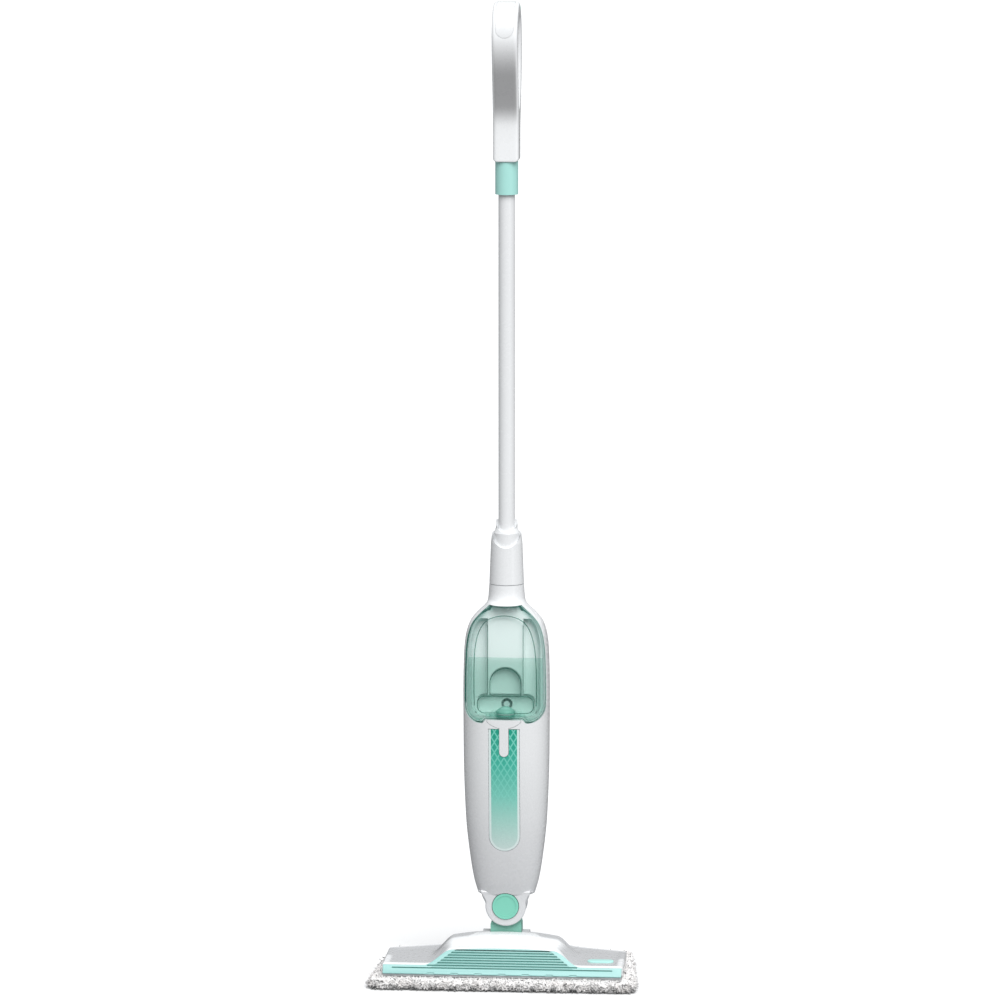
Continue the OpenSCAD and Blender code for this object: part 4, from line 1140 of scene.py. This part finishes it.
def inset_loop(loop, d):
    """Open polyline moved sideways by d towards its inside."""
    out = []
    for i, (y, z) in enumerate(loop):
        a, b = loop[max(0, i - 2)], loop[min(len(loop) - 1, i + 2)]
        ty, tz = b[0] - a[0], b[1] - a[1]
        h = math.hypot(ty, tz)
        out.append((y + tz / h * d, z - ty / h * d))
    return out


def band(test, outside, depth):
    """Closed outline that follows the loop's outer edge where test is true."""
    part = [p for p in resample(outer_loop, 1.5, False) if test(*p)]
    return raised(inset_loop(part, -outside) + inset_loop(part, depth)[::-1])


def loop_solid(name, half):
    """The handle's closed loop with round edges, remeshed so that it can be cut cleanly."""
    obj = plate(name, [raised(outer_loop), raised(hole_loop)], -half, half, LOOP_EDGE, "X", 7)
    mod = obj.modifiers.new("r", "REMESH")
    mod.mode = "VOXEL"
    mod.voxel_size = 0.9 * MM
    mod = obj.modifiers.new("s", "SMOOTH")
    mod.iterations = 6
    mod.factor = 0.5
    return take(obj)


def twin(obj, name):
    return link(name, obj.data.copy())


handle_body = loop_solid("handle_white", LOOP_HALF)
wrap = loop_solid("grip_wrap", LOOP_HALF - 0.35)
grip_band = band(lambda y, z: y > GRIP_Y + 0.4 and z > GRIP_Z + 0.4, 3, 8)
boolean(wrap, prism("area", grip_band, -20, 20, "X"), "INTERSECT")
inlay_front = round_rect(-10.8, HANDLE_Z + 151, 10.8, HANDLE_Z + 240, 10.7, 14)
inlay_cut = round_rect(-11.2, HANDLE_Z + 150.6, 11.2, HANDLE_Z + 240, 11.1, 14)
inlay = twin(handle_body, "handle_inlay_cover")
boolean(inlay, prism("area", band(lambda y, z: y < 1.6 and z > 140, 3, 1.5), -20, 20, "X"), "INTERSECT")
boolean(inlay, prism("face", inlay_front, -60, 2), "INTERSECT")
slit = prism("slit", band(lambda y, z: y < 2.0 and z > 140, 3, 1.6), -20, 20, "X")
boolean(slit, prism("face", inlay_cut, -60, 2.4), "INTERSECT")
area = prism("area", band(lambda y, z: y > GRIP_Y and z > GRIP_Z, 3, 8.3), -20, 20, "X")
boolean(handle_body, slit)
boolean(handle_body, area)
# painted shade: the down-facing front of the loop turns grey where the shade attribute says so
handle_white = white_with_painted_shade("handle_white", "shade", (0.36, 0.36, 0.365), (0.93, 0.94, 0.95))


def arm_shade(x, y, z):
    """How much painted shade a point gets on the front of the loop, where it faces down."""
    up = smooth((z - HANDLE_Z - 42) / 28) * smooth((HANDLE_Z + 158 - z) / 55)
    return 0.9 * smooth((11 - y - abs(x) * 0.2) / 18) * up * smooth((15.2 - abs(x)) / 3)


for side, word in ((-1, "left"), (1, "right")):
    half = twin(handle_body, "handle_half_" + word)
    boolean(half, prism("side", [(0, 900), (side * 40, 900), (side * 40, 1300), (0, 1300)][::side],
                        -80, 80), "INTERSECT")
    mark(half, "shade", arm_shade)
    piece(half, "handle", handle_white, "white_gloss", "handle_" + word, angle=38)
bpy.data.objects.remove(handle_body)
piece(inlay, "handle", white_plastic, "white_gloss", "handle_inlay", angle=38)
piece(wrap, "handle", grip_mint, "mint", "grip_pad", angle=38)

# ------------------------------------------------------------------ stage and lights


def floor_material():
    """Pale floor that throws little light back up at the object."""
    m = Mat("floor", (0.9, 0.9, 0.9), 0.7, Emission_Color=(1, 1, 1, 1), Emission_Strength=0.08)
    m.color(m.ramp(m.noise(3.0), [(0.3, (0.89, 0.89, 0.89)), (0.7, (0.91, 0.91, 0.91))]))
    low = m.node("ShaderNodeBsdfDiffuse")
    low.inputs["Color"].default_value = (0.16, 0.16, 0.16, 1)
    ray = m.node("ShaderNodeLightPath")
    m.surface(ray.outputs["Is Camera Ray"], low.outputs[0], m.bsdf.outputs[0])
    return m.m


FLOOR = 60000
corners = [(x * FLOOR, y * FLOOR, 0) for x, y in ((-1, -1), (1, -1), (1, 1), (-1, 1))]
floor = mesh_obj("floor", corners, [(0, 1, 2, 3)])
floor.data.materials.append(floor_material())

# a pale backdrop for the camera and a dimmer, even studio for everything else
world = bpy.data.worlds.new("studio")
scene.world = world
world.use_nodes = True
wt = world.node_tree
backdrop = wt.nodes["Background"]
backdrop.inputs[0].default_value = (1, 1, 1, 1)
backdrop.inputs[1].default_value = 1.04
studio = wt.nodes.new("ShaderNodeBackground")
studio.inputs[0].default_value = (0.96, 0.98, 1.0, 1)
studio.inputs[1].default_value = 0.62
ray = wt.nodes.new("ShaderNodeLightPath")
pick = wt.nodes.new("ShaderNodeMixShader")
wt.links.new(ray.outputs["Is Camera Ray"], pick.inputs[0])
wt.links.new(studio.outputs[0], pick.inputs[1])
wt.links.new(backdrop.outputs[0], pick.inputs[2])
wt.links.new(pick.outputs[0], wt.nodes["World Output"].inputs["Surface"])


def light(kind, name, place, aim, power, **props):
    data = bpy.data.lights.new(name, kind)
    data.energy = power
    for k, v in props.items():
        setattr(data, k, v)
    obj = bpy.data.objects.new(name, data)
    obj.location = place
    obj.rotation_euler = (Vector(aim) - Vector(place)).to_track_quat("-Z", "Y").to_euler()
    scene.collection.objects.link(obj)


light("SUN", "overhead", (0.55, -1.6, 1.9), (0, 0, 0), 2.75, angle=math.radians(45))
light("AREA", "right_panel", (2.6, -2.2, 1.3), (0, 0, 0.6), 8, shape="RECTANGLE", size=0.9, size_y=2.6)
